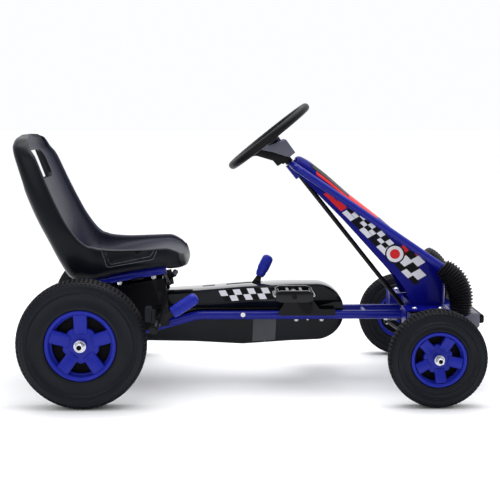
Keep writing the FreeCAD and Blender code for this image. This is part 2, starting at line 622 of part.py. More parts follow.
def make_bearings():
    """Crank brackets on the rails with their bushes, and ball bearings for the rear axle."""
    shapes = []
    brackets = []
    saddles = []
    for side in (-1, 1):
        shapes.append(ring(V(CRANK_X, side * 30, CRANK_Z), V(CRANK_X, side * 56, CRANK_Z),
                           CRANK_R + 1.5, CRANK_R + FIT))
        rail = rod(V(300, side * RAIL_Y, RAIL_Z), V(600, side * RAIL_Y, RAIL_Z), RAIL_R)
        saddle = block(SADDLE_X0, SADDLE_X1, side * 27.6, side * SADDLE_Y, RAIL_Z, RAIL_Z + RAIL_R + PLATE)
        plate = side_prism(CRANK_PLATE, side * (SADDLE_Y - 6.5), side * SADDLE_Y)
        boss = rod(V(CRANK_X, side * (SADDLE_Y - 6.5), CRANK_Z), V(CRANK_X, side * 55, CRANK_Z), 12)
        hole = rod(V(CRANK_X, side * 20, CRANK_Z), V(CRANK_X, side * 60, CRANK_Z), CRANK_R + 1.5)
        screw_holes = [rod(V(x, side * RAIL_Y, RAIL_Z - RAIL_R),
                           V(x, side * RAIL_Y, RAIL_Z - RAIL_R + CRANK_SCREW_L), cap / 2)
                       for x, cap in CRANK_SCREWS]
        saddles.append(saddle.fuse([plate, boss]).cut([rail, hole] + screw_holes))

        low_rail = rod(V(-60, side * RAIL_Y, RAIL_LOW_Z), V(60, side * RAIL_Y, RAIL_LOW_Z), RAIL_R)
        housing = block(-22, 22, side * 28, side * 47, RAIL_LOW_Z + 2, REAR_TYRE_R + 20)
        seat = rod(V(0, side * 28, REAR_TYRE_R), V(0, side * 48, REAR_TYRE_R), 15)
        brackets.append(housing.cut([low_rail, seat]))
        shapes.append(ring(V(0, side * 30, REAR_TYRE_R), V(0, side * 42, REAR_TYRE_R),
                           15, REAR_AXLE_R + FIT))
    save("frame_bearings", *shapes)
    save("crank_brackets", *saddles)
    save("rear_axle_brackets", *brackets)


# ---------------------------------------------------------------- chain case

def case_outline(inset):
    """The chain case's side outline, with a round nose, `inset` inside its outer wall."""
    points = [(-58 + inset, 172 - inset), (-40, 190 - inset), (20, 193 - inset), (95, 197 - inset),
              (229, 205 - inset), (330, 213 - inset), (430, 217 - inset)]
    radius = CASE_FRONT_R - inset
    for degrees in range(90, -91, -15):
        angle = math.radians(degrees)
        points.append((CASE_FRONT.x + radius * math.cos(angle), CASE_FRONT.z + radius * math.sin(angle)))
    points += [(430, 89 + inset), (323, 82 + inset), (215, 88 + inset), (115, 90 + inset),
               (0, 84 + inset), (-42, 92 + inset), (-58 + inset, 112 + inset)]
    return points


def case_plan(inset):
    """The upper cover's plan outline, drawn in towards the nose."""
    w = CASE_HALF_W - inset
    half = [(-80, w), (400, w), (480, w - 6), (545 - inset, w - 16)]
    return half + [(x, -y) for x, y in reversed(half)]


def make_case():
    upper = side_prism(case_outline(0), -60, 60).common(plan_prism(case_plan(0), CASE_SPLIT_Z, 260))
    hollow = side_prism(case_outline(SHEET), -60, 60).common(plan_prism(case_plan(SHEET), 0, 260))
    slot = block(GEAR_PIVOT.x - 36, GEAR_PIVOT.x + 42, -7, 7, 190, 230)
    rear_slot = block(235, 262, -6, 6, 190, 230)
    crank_hole = rod(V(CRANK_X, -90, CRANK_Z), V(CRANK_X, 90, CRANK_Z), CRANK_R + 4)
    save("case_upper", upper.cut([hollow, slot, rear_slot, crank_hole]))

    w = CASE_LOW_HALF_W
    trough = side_prism(case_outline(0), -w, w).common(block(-80, 600, -w, w, 0, CASE_SPLIT_Z + 6))
    trough = trough.cut(side_prism(case_outline(SHEET), -w + SHEET, w - SHEET))
    lid_gap = block(-80, 600, -60, 60, CASE_SPLIT_Z + 5.5, 300)
    axle_hole = rod(V(0, -90, REAR_TYRE_R), V(0, 90, REAR_TYRE_R), REAR_AXLE_R + 5)
    pivot_hole = rod(GEAR_PIVOT - Y_AXIS * 90, GEAR_PIVOT + Y_AXIS * 90, 4)
    rail_line = rod(V(REAR_STAY_X, -40, RAIL_LOW_Z), V(REAR_STAY_X, 40, RAIL_LOW_Z), STAY_R)
    trough = trough.cut([lid_gap, crank_hole, axle_hole, pivot_hole, rail_line, upper.cut(hollow)])
    front = trough.common(block(CASE_JOINT_X + 0.2, 600, -60, 60, 0, 300))
    rear = trough.common(block(-80, CASE_JOINT_X - 0.2, -60, 60, 0, 300))
    save("case_lower_front", max(front.Solids, key=lambda solid: solid.Volume))
    save("case_lower_rear", max(rear.Solids, key=lambda solid: solid.Volume))

    x0, x1 = CASE_JOINT_X - 24, CASE_JOINT_X + 24
    skin = side_prism(case_outline(-1), -w - 1, w + 1).cut(side_prism(case_outline(0), -w, w))
    tape = skin.common(block(x0, x1, -60, 60, 60, 139))
    save("case_joint_tape", tape)


# ---------------------------------------------------------------- seat

SEAT_STATIONS = [
    # x, z of the outer wall on the centre line, slope of the inward normal, half width, depth
    (-147, 540, 0, 80, 13), (-151, 536, 0, 98, 19), (-155, 517, 2, 117, 28), (-145, 478, 16, 130, 40),
    (-126, 420, 22, 141, 47), (-103, 366, 26, 150, 53), (-80, 321, 32, 154, 61),
    (-57, 277, 40, 153, 71), (-36, 245, 58, 150, 76), (15, 239, 84, 146, 68),
    (60, 250, 90, 146, 52), (115, 261, 90, 146, 44), (165, 271, 92, 140, 35),
    (196, 272, 100, 120, 27), (209, 278, 118, 96, 14),
]


def seat_section(x, z, lean, half, depth, wall):
    """A closed U: the outer skin, a rolled edge and the inner skin, square to the seat's spine."""
    angle = math.radians(lean)
    inward = V(math.cos(angle), 0, math.sin(angle))
    outer = [(-1.0, 1.0), (-0.99, 0.7), (-0.93, 0.3), (-0.78, 0.05), (-0.4, 0.0), (0.4, 0.0),
             (0.78, 0.05), (0.93, 0.3), (0.99, 0.7), (1.0, 1.0)]
    base = V(x, 0, z)
    points = [base + Y_AXIS * (a * half) + inward * (b * depth) for a, b in outer]
    narrow = half - 1.4 * wall
    deep = depth - 0.6 * wall
    for a, b in reversed(outer):
        points.append(base + Y_AXIS * (a * narrow) + inward * (b * deep + wall * (1 if b < 0.6 else 0.6)))
    return Part.makePolygon(points + points[:1])


def make_seat():
    wires = [seat_section(*station, SEAT_WALL) for station in SEAT_STATIONS]
    shell = Part.makeLoft(wires, True, True)
    hand = plan_prism([(-200, -58), (-60, -58), (-60, 58), (-200, 58)], 447, 506)
    corners = [edge for edge in hand.Edges if abs(edge.Length - 140) < 0.1]
    hand = hand.makeFillet(16, corners)
    tube_tools = []
    tubes = []
    bolts = []
    shanks = []
    for side in (-1, 1):
        y = side * SEAT_TUBE_Y
        tube = rod(on_seat(-SEAT_TUBE_HALF, y, 0), on_seat(SEAT_TUBE_HALF, y, 0), SEAT_TUBE_R)
        tube_tools.append(rod(on_seat(-120, y, 0), on_seat(140, y, 0), SEAT_TUBE_R))
        for s in SEAT_BOLTS_S:
            shank = rod(on_seat(s, y, -16), on_seat(s, y, 30), 3)
            head = rod(on_seat(s, y, 24), on_seat(s, y, 27.5), 8)
            nut = hexagon(on_seat(s, y, -SEAT_TUBE_R - 5), SEAT_T, 9.5, 5)
            bolts.append(rod(on_seat(s, y, -16), on_seat(s, y, 24), 3).fuse([head, nut]))
            shanks += [shank, head]
        core = rod(on_seat(-120, y, 0), on_seat(140, y, 0), SEAT_TUBE_R - TUBE_WALL)
        tubes.append(tube.cut([core] + shanks))
    save("seat_shell", shell.cut([hand] + tube_tools + shanks))
    save("seat_tubes", *tubes)
    save("seat_bolts", *bolts)

    straps = [seat_block(s0, s0 + 26, -118, 118, -12, -8) for s0 in (-68, 2)]
    channel = seat_block(-66, 66, -24, 24, -24, -12)
    channel = channel.cut(seat_block(-70, 70, -20.4, 20.4, -20.6, -16))
    channel = channel.cut(seat_block(-70, 70, -8.4, 8.4, -30, -16))
    lug = seat_block(62, 82, -32, -24, -45, -13)
    pin_at = on_seat(73, 0, -38)
    pin = rod(pin_at - Y_AXIS * 62, pin_at - Y_AXIS * 30, 3)
    slider = channel.fuse(straps + [lug, pin]).cut(tubes)
    save("seat_slider", slider)

    hub = ring(pin_at - Y_AXIS * 44, pin_at - Y_AXIS * 36, 7, 3 + FIT)
    up = V(math.cos(LOCK_LEAN), 0, math.sin(LOCK_LEAN))
    root = pin_at - Y_AXIS * 40
    stem = rod(root + up * 5, root + up * 24, 2.5)
    collar = rod(root + up * 14, root + up * 17, 4)
    lever = hub.fuse([stem, collar])
    save("seat_lock_lever", lever)
    knob = rod(root + up * 17, root + up * 31, 6)
    knob = knob.makeFillet(4, [edge for edge in knob.Edges if (edge.CenterOfMass - root).Length > 30])
    save("seat_lock_knob", knob.cut(lever))
    spring_low = pin_at - Y_AXIS * 57
    spring_high = spring_low + V(-9, 0, 25)
    coil = ring(spring_low, spring_high, 4, 2.5)
    save("seat_lock_spring", coil.cut(slider))

    top = seat_block(PEDESTAL_REAR, PEDESTAL_FRONT, -CHEEK_Y - PLATE, CHEEK_Y + PLATE, -30, -26)
    web = seat_block(PEDESTAL_REAR, PEDESTAL_FRONT, -8, 8, -26, -20.2)
    flange = seat_block(PEDESTAL_REAR, PEDESTAL_FRONT, -20, 20, -20.2, -16.2)
    post = top.fuse([web, flange])
    above = seat_block(-200, 200, -60, 60, -27, 60)
    for side in (-1, 1):
        cheek = side_prism([(22, 100), (164, 130), (160, 205), (151, 240), (8, 207)],
                           side * CHEEK_Y, side * (CHEEK_Y + PLATE))
        post = post.fuse(cheek.cut(above))
    save("seat_pedestal", post.cut([rail_tube(side) for side in (-1, 1)] + bracket_bolts()))


# ---------------------------------------------------------------- levers and fasteners

def make_levers():
    up = V(math.cos(GEAR_LEAN), 0, math.sin(GEAR_LEAN))
    across = V(-up.z, 0, up.x)
    thick = Y_AXIS * 5
    root = GEAR_PIVOT - Y_AXIS * 2.5
    half_outline = [(0, 9), (62, 10), (88, 5)]
    bar = prism([root + up * a + across * b for a, b in half_outline]
                + [root + up * a - across * b for a, b in reversed(half_outline)], thick)
    eye = rod(root, root + thick, 12)
    bore = rod(GEAR_PIVOT - Y_AXIS * 30, GEAR_PIVOT + Y_AXIS * 30, 4 + FIT)
    gear_bar = bar.fuse(eye).cut(bore)
    tang = rod(GEAR_PIVOT + up * 80, GEAR_PIVOT + up * 110, 4)
    gear_bar = gear_bar.fuse(tang)
    grip = rod(GEAR_PIVOT + up * 89, GEAR_PIVOT + up * 136, 12.5)
    collar = rod(GEAR_PIVOT + up * 86, GEAR_PIVOT + up * 91, 9)
    tip_edges = [edge for edge in grip.Edges if (edge.CenterOfMass - GEAR_PIVOT).Length > 130]
    grip = grip.makeFillet(9, tip_edges)
    save("gear_lever", gear_bar)
    save("gear_grip", grip.fuse(collar).cut(gear_bar))

    pivot = V(BRAKE_PIVOT.x, 0, BRAKE_PIVOT.z)
    shaft = rod(pivot - Y_AXIS * (CHEEK_Y + PLATE), pivot - Y_AXIS * 268, 6)
    flange_y = CHEEK_Y + PLATE
    flange = side_prism([(118, 122), (160, 132), (160, 150), (152, 172), (136, 172), (118, 150)],
                        -flange_y, -flange_y - PLATE)
    save("brake_bracket", shaft.fuse(flange).cut(bracket_bolts()))

    lean = V(math.cos(BRAKE_LEAN), 0, math.sin(BRAKE_LEAN))
    normal = V(-lean.z, 0, lean.x)
    root = pivot + Y_AXIS * BRAKE_LEVER_Y
    hub = rod(pivot - Y_AXIS * 180, pivot - Y_AXIS * 262, 9)
    bar = prism([root - normal * 7 + Y_AXIS * 3, root + normal * 7 + Y_AXIS * 3,
                 root + normal * 6 + lean * 90 + Y_AXIS * 3, root - normal * 6 + lean * 90 + Y_AXIS * 3],
                Y_AXIS * -6)
    arm = block(139, 146, -252, -238, 160, 198)
    bore = rod(pivot, pivot - Y_AXIS * 300, 6 + FIT)
    lever = hub.fuse([bar, arm]).cut(bore)
    save("brake_lever", lever)
    start = root + lean * 40
    end = root + lean * 100
    grip = rod(start, end, 12.5)
    grip = grip.makeFillet(8, [edge for edge in grip.Edges if (edge.CenterOfMass - end).Length < 1])
    save("brake_grip", grip.cut(bar))
    pad = block(126, 139, -262, -228, 176, 203)
    edges = [edge for edge in pad.Edges if abs(edge.CenterOfMass.x - 126) < 0.1]
    save("brake_pad", pad.makeFillet(3, edges))


os.makedirs("parts", exist_ok=True)
make_wheels()
make_frame()
make_axle_beam()
make_bumper()
make_fairing()
make_steering()
make_knuckles()
make_drive()
make_bearings()
make_case()
make_seat()
make_levers()
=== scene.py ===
from itertools import product
from math import asin, copysign, cos, hypot, pi, radians, sin, sqrt, tan

import bmesh
import bpy
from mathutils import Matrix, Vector
from mathutils.bvhtree import BVHTree


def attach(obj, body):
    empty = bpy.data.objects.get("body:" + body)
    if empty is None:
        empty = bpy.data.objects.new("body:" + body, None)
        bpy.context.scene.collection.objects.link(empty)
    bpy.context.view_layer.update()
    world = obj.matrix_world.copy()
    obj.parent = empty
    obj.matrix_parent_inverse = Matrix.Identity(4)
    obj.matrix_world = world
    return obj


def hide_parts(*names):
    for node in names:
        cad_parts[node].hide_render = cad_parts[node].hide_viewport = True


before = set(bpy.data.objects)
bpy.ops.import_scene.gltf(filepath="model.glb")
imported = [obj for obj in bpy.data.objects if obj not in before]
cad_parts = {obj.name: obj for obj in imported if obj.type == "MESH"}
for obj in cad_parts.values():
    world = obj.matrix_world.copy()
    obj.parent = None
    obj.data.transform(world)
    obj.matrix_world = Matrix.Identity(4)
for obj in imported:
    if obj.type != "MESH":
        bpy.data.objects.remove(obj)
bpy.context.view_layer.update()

# A child's pedal go kart. Sizes are in millimetres, and lengths are measured forward from the rear
# axle, as in the part's own script. at() turns them into the row frame's metres.

MM = 0.001
MIDDLE_X = 337.0
SIDES = {"right": -1, "left": 1}

WHEELBASE = 708.8
REAR_TRACK_Y, FRONT_TRACK_Y = 245.0, 250.0
AXLE_END_Y = 287.0
REAR_AXLE_Z, FRONT_AXLE_Z = 130.0, 99.3

CROSS_TUBE_Z, CROSS_TUBE_R = 153.0, 8.0
HOOP_TOP, HOOP_LOW, HOOP_LOW_R = (431, 38.3, 473.8), (790, 118.4, 230.4), 86.0
SLEEVE_R, SLEEVE_CORE_R, SLEEVE_RIBS = 18.4, 14.2, 20

STEER_TILT = radians(51.4)
STEER_DIR = Vector((cos(STEER_TILT), 0, -sin(STEER_TILT)))
STEER_UP = Vector((sin(STEER_TILT), 0, cos(STEER_TILT)))
WHEEL_CENTRE = Vector((380, 0, 535.3))
RING_R, RING_SECTION_R = 100.5, 8.5

CRANK_X, CRANK_Z, CRANK_ARM, CRANK_ANGLE = 461.0, 168.0, 50.4, radians(129.4)
PEDAL_L, PEDAL_W, PEDAL_H, PEDAL_Y = 88.0, 80.0, 24.0, 108.0

CASE_HALF_W, CASE_LOW_HALF_W = 42.0, 27.0
CASE_FRONT, CASE_FRONT_R = (482.0, 154.0), 63.0
CASE_SPLIT_Z, CASE_JOINT_X = 176.0, 371.0
CASE_BACK_X, CASE_NOSE_X = -57.5, 541.5
CASE_WALL = 3.0

SEAT_TILT = radians(10)
SEAT_ORIGIN = Vector((85, 0, 247.3))
LOCK_LEAN = radians(58)
GEAR_PIVOT, GEAR_LEAN = Vector((323, 0, 152)), radians(64.6)
BRAKE_PIVOT, BRAKE_LEAN, BRAKE_LEVER_Y = Vector((144, 0, 160)), radians(33), -190.0


# ---------------------------------------------------------------- helpers

def at(x, y, z):
    """A point in the row frame, from millimetres forward of the rear axle, left and up."""
    return Vector(((x - MIDDLE_X) * MM, y * MM, z * MM))


def smoothstep(low, high, value):
    t = min(max((value - low) / (high - low), 0.0), 1.0)
    return t * t * (3 - 2 * t)


def spline(table, t):
    """A smooth curve through the rows of a table; t counts rows."""
    k = min(max(int(t), 0), len(table) - 2)
    f = t - k
    rows = [table[min(max(k + j, 0), len(table) - 1)] for j in (-1, 0, 1, 2)]
    return [0.5 * (2 * b + (c - a) * f + (2 * a - 5 * b + 4 * c - d) * f * f
                   + (3 * b - a - 3 * c + d) * f ** 3) for a, b, c, d in zip(*rows)]


def lookup(table, x):
    """The row of a table whose first column is x, by straight lines between its rows."""
    for low, high in zip(table, table[1:]):
        if x <= high[0]:
            f = max((x - low[0]) / (high[0] - low[0]), 0)
            return [a + (b - a) * f for a, b in zip(low, high)]
    return list(table[-1])


def strip_faces(rows, count, close_rows=False, close_ring=True):
    """Quads between rings of `count` points each."""
    faces = []
    last = rows if close_rows else rows - 1
    span = count if close_ring else count - 1
    for r in range(last):
        s = (r + 1) % rows
        for c in range(span):
            d = (c + 1) % count
            faces.append((r * count + c, r * count + d, s * count + d, s * count + c))
    return faces


def closed_faces(rows, count):
    """Quads between rings of `count` points each, with both ends capped."""
    ends = [tuple(range(count - 1, -1, -1)), tuple(range((rows - 1) * count, rows * count))]
    return strip_faces(rows, count) + ends


def around(count):
    """Angles all the way round, the first at 0."""
    return [2 * pi * k / count for k in range(count)]


def finished(obj, angle=35):
    """Apply the object's modifiers and shade it smooth between its sharp edges."""
    depsgraph = bpy.context.evaluated_depsgraph_get()
    mesh = bpy.data.meshes.new_from_object(obj.evaluated_get(depsgraph))
    obj.modifiers.clear()
    old = obj.data
    obj.data = mesh
    bpy.data.meshes.remove(old)
    mesh.polygons.foreach_set("use_smooth", [True] * len(mesh.polygons))
    mesh.set_sharp_from_angle(angle=radians(angle))
    return obj


def new_object(name, shape, materials=(), outward=True):
    """An object from a (points, faces) shape in millimetres, its normals turned outward."""
    points, faces = shape
    mesh = bpy.data.meshes.new(name)
    mesh.from_pydata([at(*p) for p in points], [], faces)
    mesh.update()
    for material in materials:
        mesh.materials.append(material)
    if outward:
        shell = bmesh.new()
        shell.from_mesh(mesh)
        bmesh.ops.recalc_face_normals(shell, faces=shell.faces)
        shell.to_mesh(mesh)
        shell.free()
    obj = bpy.data.objects.new(name, mesh)
    bpy.context.scene.collection.objects.link(obj)
    return obj


def bevelled(obj, width, segments, angle):
    """Give an object a bevel along the edges sharper than an angle."""
    edge = obj.modifiers.new("bevel", "BEVEL")
    edge.width = width * MM
    edge.segments = segments
    edge.limit_method = "ANGLE"
    edge.angle_limit = radians(angle)
    return edge


def piece(name, shape, materials, body, replaces=(), bevel=0.0, angle=35, parts=None,
          outward=True):
    """A mesh from a (points, faces) shape in millimetres that rides on a body."""
    if not isinstance(materials, (list, tuple)):
        materials = [materials]
    obj = new_object(name, shape, materials, outward)
    if parts:
        obj.data.polygons.foreach_set("material_index", parts)
    if bevel:
        bevelled(obj, bevel, 3, 28)
    finished(obj, angle)
    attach(obj, body)
    if replaces:
        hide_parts(*replaces)
    return obj


def joined(shapes):
    """Several (points, faces) shapes as one."""
    points, faces = [], []
    for more_points, more_faces in shapes:
        base = len(points)
        points += more_points
        faces += [tuple(base + k for k in face) for face in more_faces]
    return points, faces


def two_tone(first, second):
    """Two lists of shapes as one, with the material number of each face: 0 and 1."""
    points, faces = joined(first + second)
    count = len(joined(first)[1])
    return (points, faces), [0] * count + [1] * (len(faces) - count)


def prism(outline, low, high, placed=lambda x, z, y: (x, y, z)):
    """A closed prism: placed(a, b, c) gives the point of the outline's (a, b) for c from low to high."""
    points = [placed(a, b, c) for c in (low, high) for a, b in outline]
    return points, closed_faces(2, len(outline))


def box(x0, x1, y0, y1, z0, z1):
    return prism([(x0, z0), (x1, z0), (x1, z1), (x0, z1)], y0, y1)


def lathe(profile, centre, segments=96):
    """A ring round the Y axis from a closed profile of (radius, y from the centre)."""
    points = []
    for angle in around(segments):
        for r, y in profile:
            points.append((centre[0] + r * cos(angle), centre[1] + y, centre[2] + r * sin(angle)))
    return points, strip_faces(segments, len(profile), close_rows=True)


def rounded_path(corners, radii, step=3.0):
    """Points along straight runs joined by arcs, one radius for each inner corner."""
    corners = [Vector(c) for c in corners]
    path = [corners[0]]
    for k, radius in enumerate(radii, 1):
        back = (corners[k - 1] - corners[k]).normalized()
        ahead = (corners[k + 1] - corners[k]).normalized()
        half = back.angle(ahead) / 2
        reach = radius / tan(half)
        centre = corners[k] + (back + ahead).normalized() * (radius / sin(half))
        start, stop = corners[k] + back * reach - centre, corners[k] + ahead * reach - centre
        turn = start.angle(stop)
        count = max(int(turn * radius / step), 2)
        for j in range(count + 1):
            f = j / count
            path.append(centre + (start * sin((1 - f) * turn) + stop * sin(f * turn)) / sin(turn))
    path.append(corners[-1])
    dense = [path[0]]
    for low, high in zip(path, path[1:]):
        count = max(int(round((high - low).length / step)), 1)
        dense += [low.lerp(high, j / count) for j in range(1, count + 1)]
    return dense


def sweep(path, radius, sides=20):
    """A tube along a path; radius is a number or a function of the length along it."""
    last = len(path) - 1
    ahead = [(path[min(k + 1, last)] - path[max(k - 1, 0)]).normalized() for k in range(last + 1)]
    across = ahead[0].orthogonal().normalized()
    points, along = [], 0.0
    for k, centre in enumerate(path):
        if k:
            along += (centre - path[k - 1]).length
        across = (across - ahead[k] * across.dot(ahead[k])).normalized()
        other = ahead[k].cross(across)
        r = radius(along) if callable(radius) else radius
        for angle in around(sides):
            points.append(tuple(centre + across * (r * cos(angle)) + other * (r * sin(angle))))
    return points, closed_faces(len(path), sides)


def length_of(path):
    return sum((b - a).length for a, b in zip(path, path[1:]))


def revolved(profile, origin, axis, segments=40):
    """A closed solid of revolution: profile is (distance along the axis, radius), from end to end."""
    axis = Vector(axis).normalized()
    across = axis.orthogonal().normalized()
    other = axis.cross(across)
    points = []
    for d, r in profile:
        for angle in around(segments):
            points.append(tuple(Vector(origin) + axis * d + (across * cos(angle) + other * sin(angle)) * r))
    return points, closed_faces(len(profile), segments)


def cut_away(obj, shapes, angle):
    """Cut closed shapes out of a finished piece."""
    cutter = new_object("cutter", joined(shapes))
    cut = obj.modifiers.new("cut", "BOOLEAN")
    cut.object = cutter
    cut.solver = "EXACT"
    finished(obj, angle)
    bpy.data.objects.remove(cutter)


# ---------------------------------------------------------------- materials

def surface(name, colour, roughness, metallic=0.0, coat=0.0, coat_roughness=0.04, specular=0.5,
            mottle=0.12, mottle_scale=9.0, streak=0.08, grain=0.0, grain_scale=900.0, pebble=0.0,
            pebble_scale=260.0):
    """A material with colour drift, uneven gloss, fine grain, and pebbling where it is textured."""
    material = bpy.data.materials.new(name)
    material.use_nodes = True
    nodes, links = material.node_tree.nodes, material.node_tree.links
    shader = nodes["Principled BSDF"]
    fixed = {"Metallic": metallic, "Coat Weight": coat, "Coat Roughness": coat_roughness,
             "Specular IOR Level": specular}
    for socket, value in fixed.items():
        shader.inputs[socket].default_value = value
    where = nodes.new("ShaderNodeTexCoord").outputs["Object"]

    def texture(kind, **settings):
        node = nodes.new(kind)
        for socket, value in settings.items():
            node.inputs[socket].default_value = value
        links.new(where, node.inputs["Vector"])
        return node

    drift = texture("ShaderNodeTexNoise", Scale=mottle_scale, Detail=5.0)
    ramp = nodes.new("ShaderNodeValToRGB")
    stops = ((0.3, 1 - mottle), (0.72, 1 + mottle))
    for element, (position, factor) in zip(ramp.color_ramp.elements, stops):
        element.position = position
        element.color = [min(c * factor, 1) for c in colour] + [1]
    links.new(drift.outputs["Fac"], ramp.inputs["Fac"])
    links.new(ramp.outputs["Color"], shader.inputs["Base Color"])

    wipe = texture("ShaderNodeTexNoise", Scale=mottle_scale * 3.1, Detail=6.0, Distortion=0.6)
    gloss = nodes.new("ShaderNodeMapRange")
    gloss.inputs["To Min"].default_value = max(roughness - streak, 0.02)
    gloss.inputs["To Max"].default_value = roughness + streak
    links.new(wipe.outputs["Fac"], gloss.inputs["Value"])
    links.new(gloss.outputs["Result"], shader.inputs["Roughness"])

    normal = None
    reliefs = ((grain, grain_scale, "ShaderNodeTexNoise", "Fac"),
               (pebble, pebble_scale, "ShaderNodeTexVoronoi", "Distance"))
    for strength, scale, kind, height in reliefs:
        if not strength:
            continue
        bump = nodes.new("ShaderNodeBump")
        bump.inputs["Strength"].default_value = strength
        bump.inputs["Distance"].default_value = 0.0006
        links.new(texture(kind, Scale=scale).outputs[height], bump.inputs["Height"])
        if normal:
            links.new(normal, bump.inputs["Normal"])
        normal = bump.outputs["Normal"]
    if normal:
        links.new(normal, shader.inputs["Normal"])
    return material


BLUE = (0.006, 0.010, 0.235)
paint_blue = surface("paint_blue", BLUE, 0.30, coat=0.18, specular=0.15, grain=0.05, grain_scale=260,
                     mottle=0.06)
hood_blue = surface("hood_blue", (0.003, 0.004, 0.175), 0.30, coat=0.05, specular=0.06, grain=0.04,
                    grain_scale=260, mottle=0.06)
plastic_blue = surface("plastic_blue", (0.010, 0.018, 0.300), 0.36, coat=0.05, coat_roughness=0.2,
                       specular=0.15, grain=0.12, grain_scale=1300, mottle=0.07)
gloss_black = surface("gloss_black", (0.005, 0.005, 0.007), 0.22, coat=0.2, specular=0.15, grain=0.04,
                      grain_scale=500, mottle=0.3)
case_black = surface("case_black", (0.004, 0.005, 0.008), 0.14, coat=0.14, coat_roughness=0.04,
                     specular=0.07, grain=0.03, grain_scale=120, mottle=0.3, streak=0.05)
satin_black = surface("satin_black", (0.005, 0.005, 0.007), 0.42, specular=0.12, grain=0.15,
                      grain_scale=1100, mottle=0.25)
black_paint = surface("black_paint", (0.005, 0.005, 0.007), 0.34, coat=0.08, specular=0.12, grain=0.1,
                      grain_scale=420, mottle=0.3)
seat_outside = surface("seat_outside", (0.004, 0.005, 0.008), 0.34, coat=0.06, coat_roughness=0.2,
                       specular=0.12, grain=0.12, grain_scale=1400, mottle=0.2)
seat_inside = surface("seat_inside", (0.014, 0.015, 0.030), 0.42, specular=0.2, grain=0.2, grain_scale=1500,
                      pebble=0.55, pebble_scale=230, mottle=0.15)
rubber = surface("rubber", (0.004, 0.005, 0.009), 0.46, specular=0.18, grain=0.25, grain_scale=1500,
                 mottle=0.3, streak=0.1)
tread_rubber = surface("tread_rubber", (0.007, 0.007, 0.010), 0.62, specular=0.16, grain=0.35,
                       grain_scale=900, mottle=0.4, mottle_scale=24, streak=0.1)
sleeve_black = surface("sleeve_black", (0.004, 0.004, 0.006), 0.4, specular=0.15, grain=0.1,
                       grain_scale=900, mottle=0.3)
grey_plastic = surface("grey_plastic", (0.115, 0.118, 0.155), 0.42, specular=0.4, grain=0.2,
                       grain_scale=1300, mottle=0.08)
hub_grey = surface("hub_grey", (0.085, 0.088, 0.125), 0.45, grain=0.2, grain_scale=1300, mottle=0.08)
zinc = surface("zinc", (0.62, 0.63, 0.66), 0.27, metallic=1.0, grain=0.15, grain_scale=700, mottle=0.15,
               mottle_scale=60, streak=0.12)
steel = surface("steel", (0.30, 0.30, 0.32), 0.34, metallic=1.0, grain=0.2, grain_scale=700, mottle=0.3,
                mottle_scale=40, streak=0.14)
tape_grey = surface("tape_grey", (0.050, 0.054, 0.066), 0.32, specular=0.3, grain=0.3, grain_scale=160,
                    mottle=0.15)
vinyl_white = surface("vinyl_white", (0.66, 0.66, 0.72), 0.28, coat=0.4, mottle=0.03)
vinyl_black = surface("vinyl_black", (0.003, 0.003, 0.004), 0.30, coat=0.04, specular=0.06, mottle=0.3)
vinyl_red = surface("vinyl_red", (0.62, 0.010, 0.016), 0.32, coat=0.05, specular=0.15, mottle=0.06)
vinyl_grey = surface("vinyl_grey", (0.060, 0.060, 0.070), 0.30, coat=0.05, specular=0.15, mottle=0.1)
reflector = surface("reflector", (0.24, 0.25, 0.30), 0.16, coat=1.0, pebble=0.5, pebble_scale=420,
                    mottle=0.1)
# near-black that stands in for shade: painted shade at the foot of the axles' centre holes and on the rims'
# back webs
shade_black = surface("shade_black", (0.002, 0.002, 0.003), 0.6, specular=0.1, mottle=0.3)
# a lighter, full-gloss copy of case_black for the cover's crown: its lighter colour is a painted highlight
# along the top
case_crown_highlight = surface("case_crown_highlight", (0.012, 0.012, 0.016), 0.08, coat=1.0, coat_roughness=0.05, grain=0.02,
                   grain_scale=120, mottle=0.3, streak=0.04)
# a grey-blue much lighter than the seat's black, for the panel ridges: painted highlight along their lines
seat_ridge_highlight = surface("seat_ridge_highlight", (0.055, 0.060, 0.080), 0.26, coat=0.3, grain=0.1, grain_scale=1400,
                    mottle=0.2)


# ---------------------------------------------------------------- wheels

def carcass(profile):
    """Points, lengths and outward normals along a tyre's cross-section from the crown to the shoulder."""
    rows, along = [], 0.0
    for k, (w, r) in enumerate(profile):
        if k:
            along += hypot(w - profile[k - 1][0], r - profile[k - 1][1])
        a, b = profile[max(k - 1, 0)], profile[min(k + 1, len(profile) - 1)]
        dw, dr = b[0] - a[0], b[1] - a[1]
        size = hypot(dw, dr)
        rows.append((along, w, r, -dr / size, dw / size))
    return rows


def tread_blocks(centre, profile, rows, count, height):
    """Slanted tread blocks: each row is (start, stop, slant) in millimetres over the crown."""
    curve = carcass(profile)
    points, faces = [], []
    step = 2 * pi / count

    def corner(angle, t, lift, side):
        _, w, r, nw, nr = lookup(curve, t)
        w, r = side * (w + nw * lift), r + nr * lift
        return (centre[0] + r * cos(angle), centre[1] + w, centre[2] + r * sin(angle))

    for side in (-1, 1):
        for number, (t0, t1, slant) in enumerate(rows):
            for k in range(count):
                a0 = step * (k + 0.5 * (number % 2) + (0.25 if side > 0 else 0))
                a1, shift = a0 + step * 0.66, step * slant
                low = [(a0, t0), (a1, t0), (a1 + shift, t1), (a0 + shift, t1)]
                mid_a, mid_t = sum(a for a, _ in low) / 4, (t0 + t1) / 2
                high = [(mid_a + (a - mid_a) * 0.82, mid_t + (t - mid_t) * 0.88) for a, t in low]
                base = len(points)
                points += [corner(a, t, -0.6, side) for a, t in low]
                points += [corner(a, t, height, side) for a, t in high]
                faces += [(base, base + 1, base + 5, base + 4), (base + 1, base + 2, base + 6, base + 5),
                          (base + 2, base + 3, base + 7, base + 6), (base + 3, base, base + 4, base + 7),
                          (base + 4, base + 5, base + 6, base + 7)]
    return points, faces


